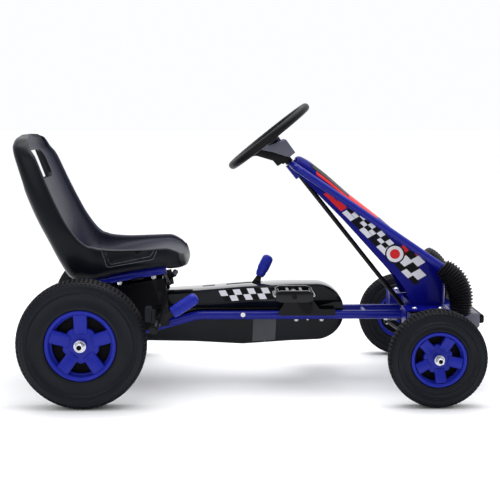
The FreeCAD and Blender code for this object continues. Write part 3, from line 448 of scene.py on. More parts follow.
def make_tyre(name, body, centre, half_profile, crown, rows, count, height):
    loop = [(r, w) for w, r in half_profile] + [(r, -w) for w, r in reversed(half_profile)]
    steps = 3
    smooth = [tuple(spline(loop, k / steps)) for k in range((len(loop) - 1) * steps + 1)]
    shape, parts = two_tone([lathe(smooth, centre, 144)],
                            [tread_blocks(centre, crown, rows, count, height)])
    piece(name + "_detailed", shape, [rubber, tread_rubber], body, [name], angle=28, parts=parts)


def make_rim(name, body, centre, side, lip, spokes, bore, hub_in):
    """A moulded rim: rolled lip, barrel, five broad ramped spokes on a five-sided hub plate."""
    radius, width, plate_y, spoke_w, turn = spokes
    half = width / 2

    def across(y):
        return side * y

    barrel = [(radius - dr, across(y)) for dr, y in lip]
    shapes = [lathe(barrel, centre, 120)]
    inner = radius * 0.47
    shapes.append(lathe([(inner + 3, across(plate_y - 5)), (inner + 3, across(plate_y - 16)),
                  (inner - 3, across(plate_y - 16)), (inner - 3, across(plate_y - 5))], centre, 80))
    hub = [(bore, across(hub_in)), (17, across(hub_in)), (17, across(plate_y - 6)),
           (20, across(plate_y - 3)), (20, across(plate_y - 1)), (bore, across(plate_y - 1))]
    shapes.append(lathe(hub, centre, 64))
    step = 2 * pi / 5

    def polar(r, angle, y):
        return (centre[0] + r * cos(angle), centre[1] + across(y), centre[2] + r * sin(angle))

    star = []
    for k in range(5):
        spoke_at = turn + step * k
        gap_at = spoke_at + step / 2
        edge = asin(min(spoke_w / 2 / (inner + 2), 0.95))
        star += [(inner + 2, spoke_at - edge), (inner + 2, spoke_at + edge), (inner + 4, gap_at)]
    count = len(star)
    points = [polar(r, a, y) for y in (plate_y - 6, plate_y) for r, a in star]
    points += [polar(bore + 2, a, y) for y in (plate_y - 6, plate_y) for _, a in star]
    faces = strip_faces(2, count)
    faces += [(count + c, count + (c + 1) % count, 3 * count + (c + 1) % count, 3 * count + c)
              for c in range(count)]
    faces += [(c, (c + 1) % count, 2 * count + (c + 1) % count, 2 * count + c) for c in range(count)]
    shapes.append((points, faces))
    outer = radius - 9
    for k in range(5):
        angle = turn + step * k
        out = Vector((cos(angle), 0, sin(angle)))
        along = Vector((-sin(angle), 0, cos(angle)))
        r0, r1 = 23.0 if radius > 60 else 19.0, outer
        ridge = 0.62
        ring = []
        for r, lift, w in ((r0, 0.4, spoke_w * 0.92), (r1, half - plate_y - 7.5, spoke_w)):
            for a, b in ((-w / 2, -8), (-w / 2, lift), (-w / 2 * ridge, lift + 1.6),
                         (w / 2 * ridge, lift + 1.6), (w / 2, lift), (w / 2, -8)):
                spot = Vector(centre) + out * r + along * a
                ring.append((spot.x, centre[1] + across(plate_y + b), spot.z))
        shapes.append((ring, closed_faces(2, 6)))
    # a black web behind the spokes: painted shade seen through the rim's windows
    web = [(17, across(plate_y - 17)), (radius - 8.6, across(plate_y - 17)),
           (radius - 8.6, across(plate_y - 14)), (17, across(plate_y - 14))]
    shape, parts = two_tone(shapes, [lathe(web, centre, 96)])
    piece(name + "_detailed", shape, [plastic_blue, shade_black], body, [name], bevel=0.8,
          angle=32, parts=parts)


def axle_fitting(name, node, body, spots, hole):
    """Washer and hexagonal nut, and a black disc of painted shade at the foot of the axle's centre hole, at
    each (x, z, side).
    """
    shapes, ends = [], []
    for x, z, side in spots:
        base = side * (AXLE_END_Y - 14)
        centre, f = (x, 0, z), hole / 5.1
        washer = [(6 * f, base), (11.8 * f, base), (12.4 * f, base + side * 0.5),
                  (12.4 * f, base + side * 1.5), (11.8 * f, base + side * 2), (6 * f, base + side * 2)]
        shapes.append(lathe(washer, centre, 48))
        flats = 9.2 * f / cos(pi / 6)
        hexagon = [(x + flats * cos(pi / 3 * k + 0.3), z + flats * sin(pi / 3 * k + 0.3))
                   for k in range(6)]
        shapes.append(prism(hexagon, base + side * 2, base + side * 10.4))
        collar = [(5.6 * f, base + side * 9), (8.2 * f, base + side * 10), (8.0 * f, base + side * 12.4),
                  (7.0 * f, base + side * 13.4), (5.6 * f, base + side * 13.4)]
        shapes.append(lathe(collar, centre, 40))
        # a black disc a little inside the axle's end: painted shade in the centre hole
        foot = AXLE_END_Y - 2.4
        ends.append(revolved([(side * foot, hole), (side * (foot - 1), hole)], centre, (0, 1, 0), 24))
    shape, parts = two_tone(shapes, ends)
    piece(name, shape, [zinc, shade_black], body, [node], bevel=0.7, angle=32, parts=parts)


REAR_TYRE = [(24, 71), (27.2, 73), (28.8, 77), (27.8, 82), (26.6, 90), (27.0, 97), (29.3, 102), (29.6, 104),
             (27.6, 106), (27.9, 110), (29.2, 112), (28.2, 114), (26.8, 119), (23, 124), (17, 127),
             (8, 127.8), (0, 128)]
REAR_CROWN = [(0, 128), (8, 127.8), (17, 127), (23, 124), (26.8, 119)]
REAR_ROWS = [(0.5, 4.0, 0.6), (4.6, 8.1, -0.6), (8.7, 12.2, 0.6), (12.8, 16.3, -0.6), (16.9, 20.4, 0.6),
             (21.0, 25.0, -0.4)]
FRONT_TYRE = [(19, 56), (21.6, 57.5), (22.8, 60), (21.2, 63), (20.6, 67), (21.8, 71), (24.9, 74.6),
              (25.1, 76), (22.6, 78.2), (22.4, 81), (23.6, 83), (23.0, 85), (22.6, 88), (20.6, 92.6),
              (16.0, 96), (8, 97.2), (0, 97.4)]
FRONT_CROWN = [(0, 97.4), (8, 97.2), (16.0, 96), (20.6, 92.6), (22.6, 88)]
FRONT_ROWS = [(0.5, 3.6, 0.6), (4.2, 7.4, -0.6), (8.0, 11.2, 0.6), (11.8, 15.0, -0.6), (15.6, 18.8, 0.6),
              (19.4, 23.2, -0.5)]
REAR_LIP = [(0, 24), (0.4, 26), (2.2, 27.2), (5, 27), (7.6, 25.4), (9, 22), (9.6, 12), (12.5, 10.6),
            (13.2, 8), (13.2, 4), (9, 3), (8.5, -22), (0, -24)]
FRONT_LIP = [(0, 19), (0.4, 21), (2.0, 22.2), (4.4, 22), (6.6, 20.6), (7.8, 18), (8.2, 10), (10, 8.6),
             (10.6, 6), (10.6, 2), (8, 1), (7.5, -17), (0, -19)]


def make_wheels():
    for name, side in SIDES.items():
        rear, front = (0, side * REAR_TRACK_Y, REAR_AXLE_Z), (WHEELBASE, side * FRONT_TRACK_Y, FRONT_AXLE_Z)
        rear_body = "rear_axle" if side < 0 else "rear_wheel_left"
        make_tyre("rear_tyre_" + name, rear_body, rear, REAR_TYRE, REAR_CROWN, REAR_ROWS, 88, 1.7)
        make_tyre("front_tyre_" + name, "front_wheel_" + name, front, FRONT_TYRE, FRONT_CROWN, FRONT_ROWS,
                  72, 1.6)
        make_rim("rear_rim_" + name, rear_body, rear, side, REAR_LIP, (71.0, 60.0, 15.0, 27.0, radians(90)),
                 7.2, -38)
        make_rim("front_rim_" + name, "front_wheel_" + name, front, side, FRONT_LIP,
                 (56.0, 50.0, 10.0, 22.0, radians(-11)), 6.2, -34)
        axle_fitting("front_nut_detailed_" + name, "front_nut_" + name, "knuckle_" + name,
                     [(WHEELBASE, FRONT_AXLE_Z, side)], 4.3)
    axle_fitting("rear_nuts_detailed", "rear_axle_nuts", "rear_axle",
                 [(0, REAR_AXLE_Z, -1), (0, REAR_AXLE_Z, 1)], 5.1)


# ---------------------------------------------------------------- seat

SEAT_ROWS = [
    # x, z of the back's outside, slope of the inward normal, half width, depth, thickness,
    # width of the rolled edge
    (-147, 537, 0, 74, 16, 11, 8), (-151, 532.5, 0, 104, 24, 17, 12), (-154, 524, 0, 123, 30, 21, 14),
    (-155, 510, 2, 137, 36, 24, 16), (-147, 478, 16, 148, 43, 31, 17), (-128, 420, 22, 158, 48, 35, 17),
    (-105, 366, 26, 164, 50, 33, 17), (-82, 321, 36, 166, 52, 27, 16), (-60, 276, 50, 163, 63, 20, 16),
    (-39, 242, 62, 158, 77, 17, 16), (-13, 236.5, 72, 153, 73, 18, 16), (15, 236, 82, 149, 67, 19, 16),
    (60, 248, 88, 146, 52, 22, 15), (115, 257.5, 90, 146, 44, 26, 14), (150, 262, 90, 142, 41, 28, 14),
    (168, 259, 92, 137, 43, 31, 14), (190, 260, 98, 122, 35, 28, 12), (203, 264, 108, 104, 27, 21, 9),
]
SEAT_WALL = 6.5    # round the hand hole, where the back is pressed in from behind
SEAT_ALONG, SEAT_ROUND = 8, 56


def back_press(z):
    """How far the back is pressed in from behind at a height, from 0 to 1."""
    return smoothstep(424, 440, z) * (1 - smoothstep(510, 520, z))


def seat_ring(row, scale=1.0, shift=0.0):
    """One closed section: outside, rolled edge, inside, rolled edge."""
    x, z, lean, half, depth, thick, edge = row
    inward = Vector((cos(radians(lean)), 0, sin(radians(lean))))
    forward = Vector((inward.z, 0, -inward.x))
    loop = []
    for k in range(SEAT_ROUND + 1):
        angle = pi * k / SEAT_ROUND
        c, s = cos(angle), sin(angle)
        y = half * copysign(abs(c) ** 0.36, c)
        pressed = (thick - SEAT_WALL) * back_press(z) * (1 - smoothstep(0.86, 0.92, abs(y) / half))
        loop.append((y, max(depth * (1 - s ** 0.38), pressed)))
    roll = edge / 2
    for k in range(1, 6):
        angle = pi * k / 6
        loop.append((-half + roll - roll * cos(angle), depth + roll * 0.75 * sin(angle)))
    narrow, bottom = half - edge, min(thick, depth * 0.8)
    for k in range(SEAT_ROUND, -1, -1):
        angle = pi * k / SEAT_ROUND
        c, s = cos(angle), sin(angle)
        loop.append((narrow * copysign(abs(c) ** 0.62, c), bottom + (depth - bottom) * (1 - s ** 0.85)))
    for k in range(1, 6):
        angle = pi * k / 6
        loop.append((half - roll - roll * cos(angle), depth + roll * 0.75 * sin(angle)))
    mid = depth * 0.5
    base = Vector((x, 0, z)) + forward * shift
    return [base + Vector((0, y * scale, 0)) + inward * (mid + (d - mid) * scale) for y, d in loop]


def in_recess(x, z, grow):
    """How far a point of the seat's side lies inside the pressed panel, from 0 to 1."""
    left = 33 + (306 - z) * 0.32
    right = 143 - (306 - z) * 0.5
    low = 273 + (x - 45) * 0.178
    inside = min(x - left, right - x, z - low, 303.5 - z)
    return smoothstep(grow - 1.2, grow + 1.2, inside)


def panel_corners(grow):
    """Corners of the pressed panel's open outline, drawn `grow` millimetres inside its edge."""
    low_left = (33 + 36 * 0.32 + grow, 271 + grow)
    low_right = (143 - 18 * 0.5 - grow, 288 + grow)
    return [(33 + 0.32 * 3 + grow, 303), low_left, low_right, (143 - 0.5 * 3 - grow, 303)]


def make_seat():
    rings = []
    count = (len(SEAT_ROWS) - 1) * SEAT_ALONG
    first, last = SEAT_ROWS[0], SEAT_ROWS[-1]
    for scale, shift in ((0.05, -3.6), (0.5, -3.2), (0.8, -2.4), (0.94, -1.2)):
        rings.append(seat_ring(first, scale, shift))
    for k in range(count + 1):
        rings.append(seat_ring(spline(SEAT_ROWS, k / SEAT_ALONG)))
    for scale, shift in ((0.94, 2.4), (0.8, 4.6), (0.5, 6.0), (0.05, 6.4)):
        rings.append(seat_ring(last, scale, shift))
    size = len(rings[0])
    points = []
    for ring in rings:
        for k, p in enumerate(ring):
            if k <= SEAT_ROUND and abs(p.y) > 120:
                press = 4.2 * in_recess(p.x, p.z, 2.0) - 1.3 * in_recess(p.x, p.z, -1.5) * (
                    1 - in_recess(p.x, p.z, 1.5))
                p = p - Vector((0, copysign(press, p.y), 0))
            points.append(tuple(p))
    faces = closed_faces(len(rings), size)
    inner = range(SEAT_ROUND + 2, 2 * SEAT_ROUND + 10)
    parts = [1 if face[0] % size in inner else 0 for face in faces]
    seat = piece("seat_detailed", (points, faces), [seat_outside, seat_inside], "seat", ["seat_shell"],
                 angle=60, parts=parts)

    outline = []
    for cy, cz, start in ((61, 489, 0), (-61, 489, 90), (-61, 464, 180), (61, 464, 270)):
        for k in range(7):
            angle = radians(start + 15 * k)
            outline.append((cy + 17 * cos(angle), cz + 17 * sin(angle)))
    cut_away(seat, [prism(outline, -230, -60, lambda a, b, c: (c, a, b))], 40)

    # the two fine ridges round the pressed panel of each side, in a lighter material that paints their
    # highlight
    mesh = seat.data
    skin = BVHTree.FromPolygons([v.co for v in mesh.vertices], [tuple(p.vertices) for p in mesh.polygons])
    ridges = []
    for side in (-1, 1):
        for grow, radius in ((-2.5, 0.7), (3.5, 0.6)):
            corners = panel_corners(grow)
            path = rounded_path([Vector((x, 0, z)) for x, z in corners], [5, 5], 3.0)
            spots = []
            for p in path:
                hit = skin.ray_cast(at(p.x, side * 200, p.z), Vector((0, -side, 0)))[0]
                if hit:
                    spots.append(Vector((p.x, hit.y / MM + side * 0.2, p.z)))
            ridges.append(sweep(spots, radius, 10))
    piece("seat_panel_ridges", joined(ridges), seat_ridge_highlight, "seat", angle=60)


def on_seat(s, y, t):
    along = Vector((cos(SEAT_TILT), 0, sin(SEAT_TILT)))
    up = Vector((-sin(SEAT_TILT), 0, cos(SEAT_TILT)))
    return SEAT_ORIGIN + along * s + Vector((0, y, 0)) + up * t


def make_seat_lock():
    root = on_seat(73, -40, -38)
    up = Vector((cos(LOCK_LEAN), 0, sin(LOCK_LEAN)))
    knob = [(17, 3.2), (17.2, 5.4), (18, 6.2), (20.5, 6.3), (21, 5.8), (21.5, 5.8), (24, 6.0), (28, 5.9),
            (30, 4.6), (30.8, 2.8), (31, 1)]
    points, faces = revolved(knob, root, up, 32)
    parts = [0 if face[0] < 32 * 4 else 1 for face in faces]
    piece("lock_knob_detailed", (points, faces), [satin_black, grey_plastic], "seat_lock",
          ["seat_lock_knob"], angle=50, parts=parts)
    low = on_seat(73, -57, -38)
    axis = Vector((-9, 0, 25))
    unit = axis.normalized()
    across = unit.orthogonal().normalized()
    other = unit.cross(across)
    turns, steps = 9, 16
    coil = []
    for k in range(turns * steps + 1):
        angle = 2 * pi * k / steps
        coil.append(low + axis * (k / (turns * steps)) + (across * cos(angle) + other * sin(angle)) * 3.2)
    piece("lock_spring_detailed", sweep(coil, 0.75, 8), steel, "seat", ["seat_lock_spring"],
          angle=60)


# ---------------------------------------------------------------- front hood

HOOD_ROWS = [
    # x, half width, crown, top of the side wall, lower edge, squareness from an arch to a box
    (437, 30.5, 489, 464, 456, 0), (442, 31.5, 492.4, 463, 452, 0), (450, 33.5, 491.5, 459, 446, 0),
    (465, 37, 483.5, 449, 432, 0), (504, 45, 453.5, 422, 393, 0.05), (547, 54, 416, 391, 350, 0.15),
    (602, 66, 373.6, 351, 290, 0.5), (620, 69, 360, 340, 270, 0.7), (643, 74, 340, 322, 245, 1),
    (656, 77, 328, 312, 230, 1), (667, 80, 319.5, 303, 215, 1), (675, 81, 313, 297, 198, 1),
    (680, 82, 309, 293, 185, 1), (683, 82.5, 306.5, 291, 179, 1), (712, 87, 284, 268, 179, 1),
    (744, 84, 262, 242, 179, 1),
]
HOOD_WALL = 2.4


def hood_powers(square):
    """How fast the section turns from its side into its crown, for an arch (0) or a box (1)."""
    return 0.78 - 0.42 * square, 1.0 - 0.3 * square


def hood_curve(row, inset):
    """A section from the lower edge on one side, over the crown, to the lower edge on the other."""
    x, w, top, spring, low, square = row
    w, top = w - inset, top - inset
    wide, high = hood_powers(square)
    curve = [(-w, low + (spring - low) * k / 10) for k in range(10)]
    for k in range(33):
        angle = pi * (1 - k / 32)
        c, s = cos(angle), sin(angle)
        curve.append((w * copysign(abs(c) ** wide, c), spring + (top - spring) * s ** high))
    curve += [(w, low + (spring - low) * (9 - k) / 10) for k in range(10)]
    return [(x, y, z) for y, z in curve]


def hood_half_width(x, z):
    """The hood's half width at a height on its side wall."""
    _, w, top, spring, _, square = lookup(HOOD_ROWS, x)
    if z <= spring:
        return w
    wide, high = hood_powers(square)
    s = min((z - spring) / (top - spring), 0.999) ** (1 / high)
    return w * (1 - s * s) ** (wide / 2)


def make_hood():
    def skin(inset):
        rows = []
        x = HOOD_ROWS[0][0]
        while x < HOOD_ROWS[-1][0]:
            rows.append(hood_curve(lookup(HOOD_ROWS, x), inset))
            x += 3 if x < 455 else 6
        rows.append(hood_curve(HOOD_ROWS[-1], inset))
        x, w, top, spring, low, square = HOOD_ROWS[-1]
        nose = ((4, 0.985, 4), (7.5, 0.955, 9), (10, 0.9, 14), (12, 0.82, 18), (13, 0.5, 20),
                (13, 0.02, 20))
        for ahead, narrow, drop in nose:
            rows.append(hood_curve((x + ahead - inset, w * narrow, top - drop, spring - drop, low, square),
                                   inset))
        return rows

    outer, inner = skin(0), skin(HOOD_WALL)
    size, length = len(outer[0]), len(outer)
    points = [p for row in outer + inner for p in row]
    faces = strip_faces(length, size, close_ring=False)
    offset = length * size
    faces += [tuple(offset + k for k in reversed(face)) for face in faces]
    for c in range(size - 1):
        faces.append((c + 1, c, offset + c, offset + c + 1))
    for r in range(length - 1):
        for c in (0, size - 1):
            a, b = r * size + c, (r + 1) * size + c
            faces.append((a, b, offset + b, offset + a) if c == 0 else (b, a, offset + a, offset + b))
    piece("hood_detailed", (points, faces), hood_blue, "chassis", ["front_fairing"], angle=50)


def decal_patch(corners, side, lift=0.5, cells=6):
    """A thin sticker on the hood's side wall between four (x, z) corners."""
    points = []
    for j in range(cells + 1):
        for k in range(cells + 1):
            u, v = k / cells, j / cells
            weights = ((1 - u) * (1 - v), u * (1 - v), u * v, (1 - u) * v)
            x, z = (sum(c[i] * f for c, f in zip(corners, weights)) for i in (0, 1))
            points.append((x, side * (hood_half_width(x, z) + lift), z))
    return points, strip_faces(cells + 1, cells + 1, close_ring=False)


DECAL_START, DECAL_ALONG = Vector((494, 414)), Vector((1, -0.99)).normalized()
DECAL_L = 274.0


def decal_frame(s, t):
    """(x, z) on the hood's side: s along the sticker's lower border, t square to it, up to the tube."""
    spot = DECAL_START + DECAL_ALONG * s + Vector((-DECAL_ALONG.y, DECAL_ALONG.x)) * t
    return spot.x, spot.y


def decal_height(s):
    """The sticker's height, which grows as the hood gets deeper."""
    return 10 + 0.180 * s


def make_decals():
    """Plain racing stripes, chequers and an empty roundel on both sides of the hood."""
    rows = {"white": [], "black": [], "red": []}
    lean = 0.25

    def add(colour, s0, s1, t0, t1, lift=0.4):
        t0, t1 = min(t0, decal_height(s0)), min(t1, decal_height(s0))
        if t1 - t0 < 0.5:
            return
        corners = [decal_frame(s0 + lean * t0, t0), decal_frame(s1 + lean * t0, t0),
                   decal_frame(s1 + lean * t1, min(t1, decal_height(s1))),
                   decal_frame(s0 + lean * t1, min(t1, decal_height(s0)))]
        for side in (-1, 1):
            rows[colour].append(decal_patch(corners, side, lift))

    def disc(colour, s, t, radius, lift):
        spots = [decal_frame(s + radius * cos(2 * pi * k / 32), t + radius * sin(2 * pi * k / 32))
                 for k in range(32)]
        for side in (-1, 1):
            points = [(x, side * (hood_half_width(x, z) + lift), z) for x, z in spots]
            rows[colour].append((points, [tuple(range(32))]))

    add("red", 2, 30, 0.5, 60)
    add("red", 30, 54, 0.5, 60)
    for k in range(6):
        s0 = 58 + 25.5 * k
        add("black" if k % 2 else "white", s0, s0 + 25.5, 0, 11)
    for k in range(10):
        s0 = 58 + 12.75 * k
        add("white" if k % 2 else "black", s0, s0 + 12.75, 11.6, 20)
        add("black" if k % 2 else "white", s0, s0 + 12.75, 20.6, 32)
    add("red", 186, 214, 26, 60)
    add("red", 214, 236, 34, 60)
    disc("black", 198, 17, 20.5, 0.8)
    disc("white", 198, 17, 17.5, 1.1)
    disc("red", 198, 17, 10.5, 1.4)
    size = 20.0
    for column in range(3):
        s0 = DECAL_L - size * (3 - column)
        for row, (t0, t1) in enumerate(((0, 12), (12, 32), (32, 52))):
            if row == 2 and column == 2:
                continue
            add("white" if (row + column) % 2 else "black", s0 - 6 * row, s0 + size - 6 * row, t0, t1, 0.65)
    for colour, material in (("white", vinyl_white), ("black", vinyl_black), ("red", vinyl_red)):
        piece("hood_sticker_" + colour, joined(rows[colour]), material, "chassis",
              angle=60, outward=False)

    # stripes over the arch beside each tube: start and end along the hood, span round the arch
    stripes = (("black", vinyl_black, ((470, 548, 43, 51), (470, 548, 58, 86))),
               ("grey", vinyl_grey, ((474, 548, 51, 58),)),
               ("red", vinyl_red, ((481, 612, 28, 43), (551, 612, 43, 76))))
    for colour, material, spans in stripes:
        shapes = []
        for side, (x0, x1, low, high) in product((-1, 1), spans):
            points = []
            for j in range(31):
                x = x0 + (x1 - x0) * j / 30
                _, w, top, spring, _, square = lookup(HOOD_ROWS, x)
                wide, steep = hood_powers(square)
                for k in range(9):
                    angle = radians(low + (high - low) * k / 8)
                    y = w * cos(angle) ** wide + 0.5 * cos(angle)
                    z = spring + (top - spring) * sin(angle) ** steep + 0.5 * sin(angle)
                    points.append((x, side * y, z))
            shapes.append((points, strip_faces(31, 9, close_ring=False)))
        piece("hood_stripe_" + colour, joined(shapes), material, "chassis", angle=60,
              outward=False)


# ---------------------------------------------------------------- frame details

BELLOWS_R, BELLOWS_SET_IN = 9.0, 9.0    # how much the bellows swell in the bend, and lie to its inside


def make_sleeves():
    shapes = []
    for side in (-1, 1):
        top, low = Vector(HOOP_TOP), Vector(HOOP_LOW)
        top.y, low.y = side * top.y, side * low.y
        along = (low - top).normalized()
        inward = Vector((-BELLOWS_SET_IN, 0, 0))
        foot = Vector((low.x, low.y, CROSS_TUBE_Z + CROSS_TUBE_R + 3))
        path = rounded_path([low - along * 60, low + inward, foot + inward], [HOOP_LOW_R], 0.7)
        total = length_of(path)

        def ribbed(along_path, total=total):
            wave = 0.5 - 0.5 * cos(2 * pi * SLEEVE_RIBS * along_path / total)
            fat = BELLOWS_R * sin(pi * min(max(along_path / total, 0.0), 1.0)) ** 0.5
            return SLEEVE_CORE_R + fat + (SLEEVE_R - SLEEVE_CORE_R) * wave ** 1.5

        shapes.append(sweep(path, ribbed, 40))
    piece("sleeves_detailed", joined(shapes), sleeve_black, "chassis", ["hose_sleeves"],
          angle=75)


def make_beam():
    """The folded front beam with its edges rounded."""
    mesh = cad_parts["front_axle_beam"].data.copy()
    mesh.materials.clear()
    mesh.materials.append(hood_blue)
    clean = bmesh.new()
    clean.from_mesh(mesh)
    bmesh.ops.remove_doubles(clean, verts=clean.verts, dist=1e-6)
    bmesh.ops.dissolve_limit(clean, angle_limit=radians(1), verts=clean.verts, edges=clean.edges)
    clean.to_mesh(mesh)
    clean.free()
    if mesh.has_custom_normals:
        mesh.attributes.remove(mesh.attributes["custom_normal"])
    obj = bpy.data.objects.new("front_axle_beam_detailed", mesh)
    bpy.context.scene.collection.objects.link(obj)
    bevelled(obj, 1.0, 2, 40).use_clamp_overlap = True
    finished(obj, 35)
    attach(obj, "chassis")
    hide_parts("front_axle_beam")


def make_beam_bolts():
    """Small cup-headed bolts through the front beam, above each king pin."""
    top = max(v.co.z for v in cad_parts["beam_bolts"].data.vertices) / MM - 8.4
    shapes = []
    for side, dx in product((-1, 1), (-27, 27)):
        root = (WHEELBASE + dx, side * 130, top)
        shapes.append(revolved([(-17, 3.6), (0, 3.6), (0, 5.2), (0.8, 5.4), (2.2, 4.8), (3.6, 3.3),
                                (4.4, 1.5), (4.6, 0.2)], root, (0, 0, 1), 28))
        shapes.append(revolved([(-15, 7.2), (-10, 7.2)], root, (0, 0, 1), 6))
    piece("beam_bolts_detailed", joined(shapes), zinc, "chassis", ["beam_bolts"], angle=40)


def make_bumper():
    half = 131.0
    outline = [(791.5, 164), (795, 167.3), (799, 168.4), (815, 168.4), (818.4, 166), (819, 160), (819, 143),
               (817, 138.5), (813, 136.4), (803, 136.6), (803.4, 146), (800, 156), (794, 162)]
    shapes = [prism(outline, -half, half)]
    for side in (-1, 1):
        plate = [(786, 160), (800, 168), (818, 167), (819, 141), (812, 134.6), (801, 134), (792, 142)]
        y = side * half
        shapes.append(prism(plate, min(y, y + side * 3), max(y, y + side * 3)))
    piece("bumper_detailed", joined(shapes), grey_plastic, "chassis", ["bumper_bar"],
          bevel=1.2)
    strip = [(818.6, 147), (822, 146), (826.5, 146.6), (828.7, 149), (829, 155.5), (828.7, 162),
             (826.5, 164.4), (822, 165), (818.6, 164)]
    shapes = [prism(strip, -128, 128)]
    for k in range(-5, 6):
        shapes.append(box(823, 829, k * 22 - 3, k * 22 + 3, 148.5, 162.5))
    piece("bumper_strip_detailed", joined(shapes), satin_black, "chassis", ["bumper_strip"],
          bevel=1.0)


# ---------------------------------------------------------------- chain case

CASE_TOP = [(-58, 172), (-52, 184), (-40, 190), (20, 193), (95, 197), (229, 205), (330, 213), (430, 217),
            (482, 217)]
CASE_BOTTOM = [(-58, 112), (-52, 98), (-42, 92), (0, 84), (115, 90), (215, 88), (323, 82), (430, 89),
               (482, 91)]


def case_edge(x, table, up):
    """Height of the case's edge: the table's as far as the crank, then an arc round its front."""
    if x <= CASE_FRONT[0]:
        return lookup(table, x)[1]
    dx = min(x - CASE_FRONT[0], CASE_FRONT_R)
    return CASE_FRONT[1] + up * sqrt(max(CASE_FRONT_R ** 2 - dx * dx, 0))


def case_top(x):
    return case_edge(x, CASE_TOP, 1)


def case_bottom(x):
    return case_edge(x, CASE_BOTTOM, -1)


def case_crease(x):
    """Height of the lower edge of the cover's pressed band."""
    return 172 + 8 * smoothstep(228, 382, x)


def case_half(x):
    return lookup([(-60, CASE_HALF_W), (400, CASE_HALF_W), (480, 37), (545, CASE_LOW_HALF_W)], x)[1]


def case_stops(x0, x1, fine_from=470):
    stops = []
    x = x0
    while x < x1:
        stops.append(x)
        x += 8 if x < fine_from else (3 if x < x1 - 12 else 1.2)
    return stops + [x1]


def make_case():
    """The upper cover with a crowned lid and pressed bands, the two lower troughs and the joint's tape."""
    stops = case_stops(CASE_BACK_X, CASE_NOSE_X)
    rows = []
    for x in stops:
        w, top = case_half(x), case_top(x)
        crease = min(case_crease(x), top - 4)
        low = min(163.5, crease - 3)
        room = top - crease
        rows.append([(-w + 11, low), (-w + 1.2, crease - 1.2), (-w, crease + 0.4),
                     (-w + 1.8, crease + min(3, room * 0.2)), (-w + 2.6, top - min(9, room * 0.35)),
                     (-w + 2.2, top - min(6, room * 0.25)), (-w + 5.5, top - min(1.2, room * 0.08)),
                     (-w + 11, top + 0.6), (-w * 0.35, top + 1.6)])
    points = []
    for x, row in zip(stops, rows):
        full = row + [(-y, z) for y, z in reversed(row)]
        inner = [(y * (1 - CASE_WALL / CASE_HALF_W), z - (CASE_WALL if z > 180 else 0)) for y,
                 z in reversed(full)]
        ring = full + inner
        points += [(x, y, z) for y, z in ring]
    faces = closed_faces(len(stops), len(ring))
    # the crown's faces take the lighter, glossier copy of the case's black: a painted highlight along the
    # top
    crown = range(len(row) - 3, len(row) + 2)
    parts = [1 if len(face) == 4 and face[0] % len(ring) in crown else 0 for face in faces]
    lid = piece("case_cover_detailed", (points, faces), [case_black, case_crown_highlight], "chassis", ["case_upper"],
                angle=24, parts=parts)
    crank_hole = revolved([(-60, 11), (60, 11)], (CRANK_X, 0, CRANK_Z), (0, 1, 0), 32)
    slots = [box(GEAR_PIVOT.x - 36, GEAR_PIVOT.x + 42, -7, 7, 196, 240), box(235, 262, -6, 6, 196, 240)]
    cut_away(lid, slots + [crank_hole], 24)

    for name, x0, x1 in (("case_lower_rear", CASE_BACK_X, CASE_JOINT_X - 0.3),
                         ("case_lower_front", CASE_JOINT_X + 0.3, CASE_NOSE_X)):
        points = []
        stops = case_stops(x0, x1)
        for x in stops:
            w, low = CASE_LOW_HALF_W, case_bottom(x)
            high = min(CASE_SPLIT_Z, case_top(x) - CASE_WALL)
            high = max(high, low + 1)
            curl = min(7, (high - low) * 0.3)
            half = [(-w, high), (-w, low + curl), (-w + 1.2, low + curl * 0.4), (-w + 4, low + 0.6),
                    (-w + 9, low)]
            full = half + [(-y, z) for y, z in reversed(half)]
            inner = [(y * (1 - CASE_WALL / CASE_LOW_HALF_W), z + (CASE_WALL if z < high - 1 else 0))
                     for y, z in reversed(full)]
            ring = full + inner
            points += [(x, y, z) for y, z in ring]
        faces = closed_faces(len(stops), len(ring))
        half = piece(name + "_detailed", (points, faces), case_black, "chassis", [name],
                     angle=30)
        if x0 < CRANK_X < x1:
            cut_away(half, [crank_hole], 30)

    x0, x1 = CASE_JOINT_X - 25, CASE_JOINT_X + 25
    skin = []
    for side in (-1, 1):
        y = side * (CASE_LOW_HALF_W + 0.5)
        grid = []
        for j in range(12):
            f = j / 11
            for k in range(12):
                x = x0 + (x1 - x0) * k / 11 - (1 - f) * 2.5
                z = case_bottom(x) + 5 + (139 - case_bottom(x) - 5) * f
                grid.append((x, y + side * 0.25 * sin(7 * f + k), z))
        skin.append((grid, strip_faces(12, 12, close_ring=False)))
    piece("case_tape_detailed", joined(skin), tape_grey, "chassis", ["case_joint_tape"],
          angle=60, outward=False)


CHEQUER_L, CHEQUER_H = 15.2, 12.4


def make_case_sticker():
    """Two rows of slanted chequers on the pressed band."""
    white, black = [], []
    for side in (-1, 1):
        for row in range(2):
            for k in range(8 if row == 0 else 7):
                shapes = white if (k + row) % 2 == 0 else black
                x0 = 270 + CHEQUER_L * k + 8 * row
                points = []
                for j in range(3):
                    for i in range(3):
                        v, u = j / 2, i / 2
                        x = x0 + CHEQUER_L * u + 6 * (1 - v)
                        top = case_top(x) - 5.2 - CHEQUER_H * row
                        z = max(top - CHEQUER_H * (1 - v), case_crease(x) + 2.2)
                        points.append((x, side * (case_half(x) - 1.4), z))
                shapes.append((points, strip_faces(3, 3, close_ring=False)))
    for name, shapes, material in (("white", white, vinyl_white), ("black", black, vinyl_black)):
        piece("case_sticker_" + name, joined(shapes), material, "chassis",
              angle=60, outward=False)


# ---------------------------------------------------------------- steering wheel

def on_shaft(distance, up=0.0, side=0.0):
    return WHEEL_CENTRE + STEER_DIR * distance + STEER_UP * up + Vector((0, side, 0))


